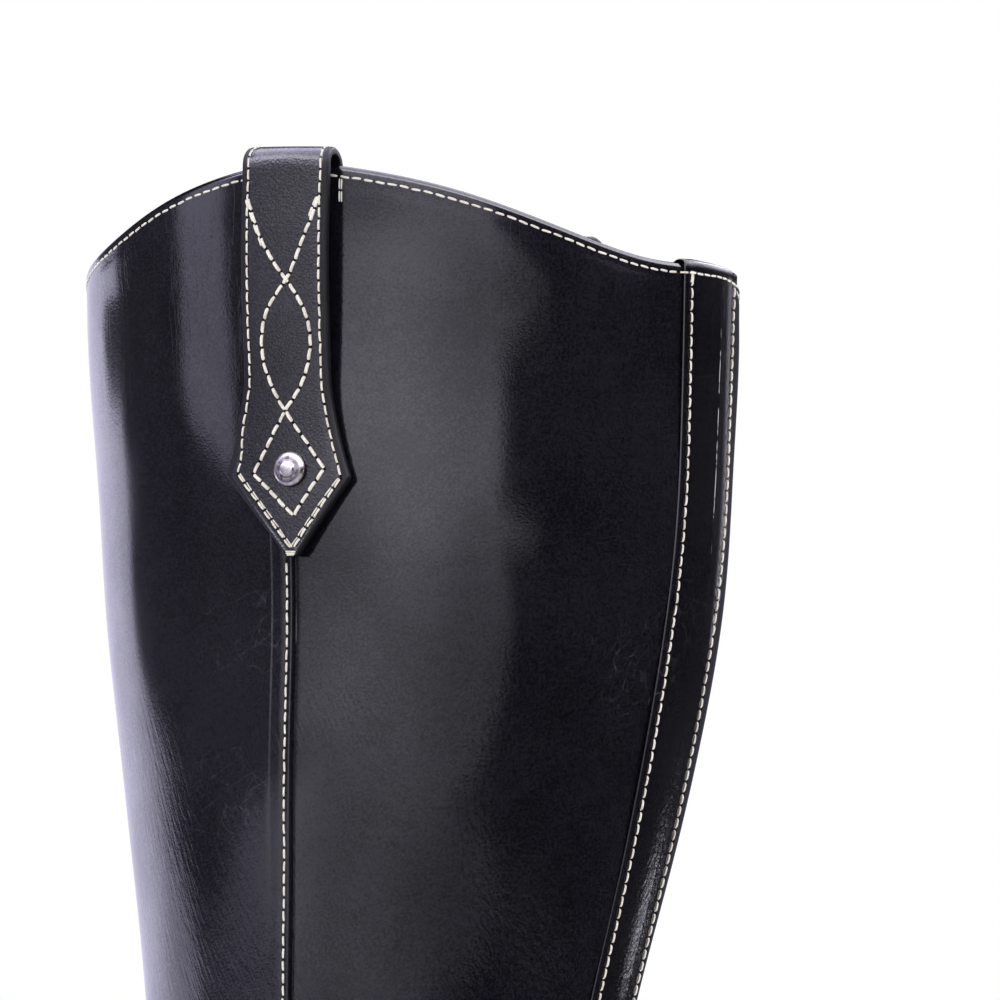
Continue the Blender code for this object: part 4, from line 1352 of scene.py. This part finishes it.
def plain_leather(name, dark, pale, gloss, scale, depth, shine=0.5):
    """Unpolished leather, rubber or paint: cloudy colour, fibrous nap and an even dull surface."""
    material, f = new_finish(name)
    place = f.place()
    cloud = f.noise(place, 40.0, 4.0, 0.6)
    nap = f.noise(place, scale, 3.0, 0.65)
    colour = f.mix(f.span(cloud + (nap - 0.5) * 0.5, 0.3, 0.75), rgb(*dark), rgb(*pale))
    rough = f.span(nap, 0.2, 0.8, gloss - 0.08, gloss + 0.08)
    f.principled({"Base Color": colour, "Roughness": rough, "Normal": f.bump(nap, 0.4, depth),
                  "Specular IOR Level": shine})
    return material


def heel_finish():
    """Stacked leather stained black: fine level lines of the lifts, burnished to a low gloss."""
    material, f = new_finish("stained stacked leather")
    place = f.place()
    lines = f.noise(f.mapped(place, (0.08, 0.08, 1.0)), 1400.0, 3.0, 0.6)
    cloud = f.noise(place, 70.0, 3.0)
    tone = f.span(lines * 0.6 + cloud * 0.4, 0.35, 0.7)
    colour = f.mix(tone, rgb(0.007, 0.006, 0.006), rgb(0.022, 0.018, 0.016))
    rough = f.span(lines, 0.25, 0.75, 0.26, 0.42)
    f.principled({"Base Color": colour, "Roughness": rough, "Normal": f.bump(lines, 0.35, 0.0002)})
    return material


def thread_finish():
    """Waxed cream thread: two strands twisted round each other, a little soiled in places."""
    material, f = new_finish("waxed cream thread")
    place = f.place()
    lay = f.mapped(f.place("UV"), (2.2, 2.2, 1.0), (0.0, 0.0, 0.7))
    twist = f.node("ShaderNodeTexWave", {}, {"Vector": lay, "Scale": 1.0, "Distortion": 0.6})
    soil = f.noise(place, 260.0, 3.0, 0.6)
    fibre = f.noise(place, 5200.0, 2.0)
    colour = f.mix(f.span(soil, 0.45, 0.78), rgb(0.90, 0.85, 0.76), rgb(0.62, 0.56, 0.47))
    rough = f.span(twist, 0.0, 1.0, 0.62, 0.5)
    f.principled({"Base Color": colour, "Roughness": rough,
                  "Normal": f.bump(twist + fibre * 0.4, 0.5, 0.00008)})
    return material


def needle_hole_shade_finish():
    """Painted shade: the dull black that stands for the shade inside the open needle holes."""
    material, f = new_finish("needle hole")
    colour = f.mix(f.noise(f.place(), 2400.0, 2.0), rgb(0.0012, 0.0011, 0.0015), rgb(0.003, 0.003, 0.0036))
    f.principled({"Base Color": colour, "Roughness": 0.9, "Specular IOR Level": 0.1})
    return material


def metal_finish():
    """Nickel-plated cap: bright boss and rim, the sunk ring between them darkened, finely turned and
    patchy."""
    material, f = new_finish("bright nickel")
    lay = f.place("UV")
    radius = f.parts(lay)[1]
    cloud = f.noise(f.place(), 900.0, 3.0)
    turned = f.noise(f.mapped(lay, (2.0, 40.0, 1.0)), 3.0, 2.0)
    ring = f.window(radius, 0.43, 0.49, 0.74, 0.86)
    plate = f.mix(f.span(cloud, 0.35, 0.7), rgb(0.66, 0.62, 0.64), rgb(0.42, 0.39, 0.41))
    colour = f.mix(ring * f.span(cloud, 0.30, 0.62, 1.0, 0.6), plate, rgb(0.045, 0.038, 0.042))
    rough = f.span(cloud, 0.3, 0.7, 0.18, 0.32) + ring * 0.15
    f.principled({"Base Color": colour, "Roughness": rough, "Normal": f.bump(turned, 0.1, 0.00003),
                  "Metallic": 1.0})
    return material


# Plain finishes: dark and pale colour, gloss, closeness of the nap per metre, its depth in metres.
PLAIN_FINISHES = {
    "charcoal lining leather": ((0.020, 0.018, 0.018), (0.040, 0.036, 0.035), 0.62, 1900.0, 0.00015),
    "black edge leather": ((0.007, 0.0065, 0.0065), (0.018, 0.016, 0.016), 0.36, 1600.0, 0.00012),
    "black welt leather": ((0.008, 0.0075, 0.0075), (0.020, 0.018, 0.018), 0.42, 1500.0, 0.00012),
    "tan insole leather": ((0.30, 0.20, 0.12), (0.44, 0.31, 0.20), 0.66, 1300.0, 0.0002),
    "heel rubber": ((0.011, 0.011, 0.012), (0.024, 0.023, 0.024), 0.66, 2400.0, 0.0001),
}


def make_pieces():
    """All pieces of the boot with their finishes."""
    shaft_leather = gloss_leather("polished black leather", rgb(0.0022, 0.0019, 0.0040),
                                  rgb(0.0098, 0.0088, 0.0138), 0.105, 1.0, 0.08)
    strap_leather = gloss_leather("polished black strap leather", rgb(0.0042, 0.0038, 0.0064),
                                  rgb(0.0140, 0.0128, 0.0176), 0.22, 6.4, 0.06)
    back_leather = gloss_leather("glossy black strap leather", rgb(0.0018, 0.0016, 0.0032),
                                 rgb(0.0066, 0.0060, 0.0090), 0.10, 0.8, 0.06, SPINE_OFFSET / CENTIMETRE)
    edge_paint = plain_leather("black edge paint", (0.0035, 0.0032, 0.0045), (0.0090, 0.0085, 0.0105),
                               0.5, 2200.0, 0.00012, shine=0.22)
    lining, sole_leather, welt_leather, insole_leather, rubber = (
        plain_leather(name, *finish) for name, finish in PLAIN_FINISHES.items())
    thread = (thread_finish(), needle_hole_shade_finish())
    metal = metal_finish()
    make_upper(shaft_leather, lining)
    for side, strap in PULL_STRAPS.items():
        strap_piece(side + "_pull_strap", strap, "pull_strap_" + side, (strap_leather, edge_paint),
                    PULL_STRAP_SPACING, pull_crown)
        make_rivet(side, metal)
        make_pull_strap_thread(side, thread)
    strap_piece("long_back_strap", BACK_STRAP, "back_strap", (back_leather,), BACK_STRAP_SPACING,
                back_crown)
    make_collar_thread(thread)
    make_seam_thread(thread)
    make_back_thread(thread)
    make_outsole(sole_leather)
    make_welt(welt_leather)
    make_welt_thread(thread)
    make_insole(insole_leather)
    make_heel(heel_finish())
    make_top_lift(rubber)


# Studio

CAMERA_TURN = math.radians(28.296)
CAMERA_YAW = math.radians(0.547)
CAMERA_PITCH = math.radians(8.493)
CAMERA_DISTANCE = 1.9
CAMERA_AIM = 56 * MM
CAMERA_HEIGHT = 43.33 * MM
CAMERA_LENS = 307.2
FLOOR_RADIUS = 6.0


def make_camera():
    """Low camera beside and behind the boot, turned by a small yaw and tipped up by the pitch."""
    cos_turn, sin_turn = math.cos(CAMERA_TURN), math.sin(CAMERA_TURN)
    forward, right = Vector((-cos_turn, -sin_turn, 0)), Vector((-sin_turn, cos_turn, 0))
    up = Vector((0, 0, 1))
    ahead = forward * math.cos(CAMERA_YAW) + right * math.sin(CAMERA_YAW)
    across = right * math.cos(CAMERA_YAW) - forward * math.sin(CAMERA_YAW)
    look = ahead * math.cos(CAMERA_PITCH) + up * math.sin(CAMERA_PITCH)
    head = up * math.cos(CAMERA_PITCH) - ahead * math.sin(CAMERA_PITCH)
    data = bpy.data.cameras.new("camera")
    data.lens, data.sensor_width = CAMERA_LENS, 36.0
    camera = put_in_scene("camera", data)
    place = Vector((0, MIDDLE - CAMERA_AIM, CAMERA_HEIGHT)) - forward * CAMERA_DISTANCE
    camera.matrix_world = Matrix.Translation(place) @ Matrix((across, head, -look)).transposed().to_4x4()
    data.clip_start, data.clip_end = 0.01, 100.0
    bpy.context.scene.camera = camera


def make_floor():
    """Plain pale disc under the boot."""
    turns = np.linspace(0, ROUND, 96, endpoint=False)
    points = np.stack([np.cos(turns), np.sin(turns), 0 * turns], -1) * FLOOR_RADIUS
    mesh = bpy.data.meshes.new("floor")
    mesh.from_pydata(points.tolist(), [], [list(range(len(points)))])
    material, f = new_finish("pale floor")
    colour = f.mix(f.noise(f.place(), 6.0, 2.0), rgb(0.93, 0.93, 0.935), rgb(0.95, 0.95, 0.95))
    f.principled({"Base Color": colour, "Roughness": 0.7})
    mesh.materials.append(material)
    floor = put_in_scene("floor", mesh)
    floor.visible_glossy = False


# What the leather reflects, by direction: degrees from the outer side towards the back, and degrees of lift.
# The panel's tone by turn and by lift, the turn of its edge by lift, and the same for the white sweep.
PANEL_TONES = ((-180, 0.02), (-92, 0.06), (-46, 0.09), (-40, 0.10), (-36, 0.14), (-33.5, 0.45), (-32, 0.82),
               (-25, 1.08), (-15, 1.42), (-9, 1.68), (0, 1.84), (5, 1.88), (11, 1.7), (18, 1.44), (28, 1.15),
               (60, 1.1))
PANEL_FALL = ((-22, 0.15), (-17, 0.25), (-13, 0.38), (-9, 0.46), (-5, 0.47), (-2, 0.60), (1, 0.95),
              (3.5, 0.94), (5, 1.2))
PANEL_EDGE = ((-20, 50), (-16, 41), (-13, 25), (-11, 34), (-10, 43), (-8.7, 41), (-6, 41), (-3, 39.5),
              (-1, 36), (-0.7, 38), (-0.5, 47), (0.2, 52), (0.9, 47), (2, 41.5), (3, 38.5), (3.8, 35),
              (5.7, 37), (9, 36))
SWEEP_EDGE = ((-6, -70.5), (-4, -73.5), (-1.7, -77.5), (0.5, -84), (1.5, -89), (2.5, -92.5), (4.5, -98),
              (5.9, -97), (6.3, -99.5), (6.7, -106), (7.2, -110), (7.7, -110.5), (8.2, -113), (12, -122))
SWEEP_TONES = ((-154, 0.0), (-150, 0.85), (-140, 0.92), (-130, 1.12), (-119, 1.45), (-110, 1.75),
               (-100, 1.75), (-88, 1.35), (-60, 1.1))
PANEL_SOFTNESS = (2.0, -2.5)
SWEEP_SOFTNESS = (1.5, -1.5)

# Narrow lights, by turn and lift: where each begins, is full, ceases to be full and ends, and its power. A
# low glow on the toe side, a strip behind the boot and a low strip behind it.
NARROW_LIGHTS = (
    ((-96.0, -84.0, -34.0, -8.0), (-13.5, -8.5, -7.0, -3.5), 0.8),
    ((160.0, 162.5, 167.5, 170.0), (0.5, 3.0, 8.0, 11.0), 0.9),
    ((151.0, 154.5, 164.0, 168.0), (-19.0, -16.0, -9.3, -7.8), 4.0),
)

# Lifts at which the surround at the boot's own level gives way to the light above and the floor below. The
# light above fades towards the zenith, and ends at a turn on the toe side except near the zenith.
SURROUND_TOP = (12.0, 24.0)
SURROUND_FLOOR = (-18.0, -31.0)
OVERHEAD_START = (13.0, 25.0)
OVERHEAD_FADE = (30.0, 56.0, 1.0, 0.5)
OVERHEAD_ZENITH = (44.0, 54.0)
OVERHEAD_TURN = (-60.0, -47.0)
OVERHEAD_POWER = 8.2
FLOOR_POWER = 0.7
DARK_SIDE = 0.04

COOL_TINT = rgb(1.0, 0.965, 1.26)
PANEL_TINT = rgb(1.0, 0.98, 1.12)
PANEL_TINT_TURN = (-44.0, -31.0)
FILL_LIGHT = rgb(1.05, 1.05, 1.05)
BACKDROP = rgb(1.0, 1.0, 1.0)

# Tall soft box on the toe side: direction, half width and roll in degrees, distance, lower and upper edge in
# metres, and brightness.
BOX_TURN, BOX_HALF, BOX_ROLL = -48.0, 8.5, 14.0
BOX_AWAY, BOX_LOW, BOX_HIGH = 0.6, 0.362, 0.75
BOX_TONE = 1.2


def curve_of(f, value, table):
    """Straight pieces through the points of a table, as a ramp scaled to the table's own reach."""
    places, tones = np.array(table, float).T
    low, reach, base, height = places[0], np.ptp(places), tones.min(), np.ptp(tones)
    stops = [((place - low) / reach, ((tone - base) / height,) * 3) for place, tone in zip(places, tones)]
    ramp = f.node("ShaderNodeValToRGB", {"stops": stops}, {0: (value - low) / reach})
    return ramp * height + base


def make_soft_box():
    """Rectangle of even light that faces the shaft, rolled out of the upright and seen only in
    reflections."""
    turn, roll = math.radians(BOX_TURN), math.radians(BOX_ROLL)
    data = bpy.data.lights.new("tall soft box", "AREA")
    data.shape = "RECTANGLE"
    data.size = 2 * BOX_AWAY * math.tan(math.radians(BOX_HALF))
    data.size_y = BOX_HIGH - BOX_LOW
    data.energy = BOX_TONE * math.pi * data.size * data.size_y
    data.color = COOL_TINT[:3]
    box = put_in_scene("tall soft box", data)
    away, up = Vector((math.cos(turn), math.sin(turn), 0)), Vector((0, 0, 1))
    level = Vector((-away.y, away.x, 0))
    across = level * math.cos(roll) - up * math.sin(roll)
    upright = up * math.cos(roll) + level * math.sin(roll)
    place = away * BOX_AWAY + Vector((0, MIDDLE - CAMERA_AIM, (BOX_LOW + BOX_HIGH) / 2))
    box.matrix_world = Matrix.Translation(place) @ Matrix((across, upright, away)).transposed().to_4x4()
    box.visible_camera = False


def make_studio():
    """White surround. What the leather reflects at its own level is a white sweep ahead of the boot, a soft
    panel beside the camera and narrow lights; a broad light hangs overhead and the pale floor lies below."""
    world = bpy.data.worlds.new("studio")
    bpy.context.scene.world = world
    world.use_nodes = True
    f = Finish(world.node_tree)
    across, ahead, up = f.parts(f.place("Generated"))
    turn = ahead.math("ARCTAN2", across) * math.degrees(1)
    lift = up.math("ARCSINE") * math.degrees(1)
    sweep = f.span(turn - curve_of(f, lift, SWEEP_EDGE), *SWEEP_SOFTNESS) * curve_of(f, turn, SWEEP_TONES)
    panel = curve_of(f, turn, PANEL_TONES) * curve_of(f, lift, PANEL_FALL)
    panel = panel * f.span(turn - curve_of(f, lift, PANEL_EDGE), *PANEL_SOFTNESS)
    level = sweep + panel + DARK_SIDE
    for turns, lifts, power in NARROW_LIGHTS:
        level = level + f.window(turn, *turns) * f.window(lift, *lifts) * power
    above, below = f.span(lift, *SURROUND_TOP), f.span(lift, *SURROUND_FLOOR)
    level = level * (1 - above) * (1 - below) + below * FLOOR_POWER
    overhead = 1 - (1 - f.span(lift, *OVERHEAD_ZENITH)) * (1 - f.span(turn, *OVERHEAD_TURN))
    overhead = overhead * f.span(lift, *OVERHEAD_START) * f.span(lift, *OVERHEAD_FADE)
    level = level + overhead * OVERHEAD_POWER
    tint = f.mix(f.span(turn, *PANEL_TINT_TURN), COOL_TINT, PANEL_TINT)
    glossy = f.node("ShaderNodeVectorMath", {"operation": "SCALE"}, {0: tint, 3: level})
    rays = f.outputs("ShaderNodeLightPath")
    tone = f.mix(Value(f, rays["Is Glossy Ray"]), FILL_LIGHT, glossy)
    tone = f.mix(Value(f, rays["Is Camera Ray"]), tone, BACKDROP)
    shader = f.node("ShaderNodeBackground", {}, {"Color": tone, "Strength": 1.0})
    f.node("ShaderNodeOutputWorld", {}, {"Surface": shader})
    bpy.context.scene.view_settings.view_transform = "Standard"


make_camera()
make_pieces()
make_floor()
make_soft_box()
make_studio()
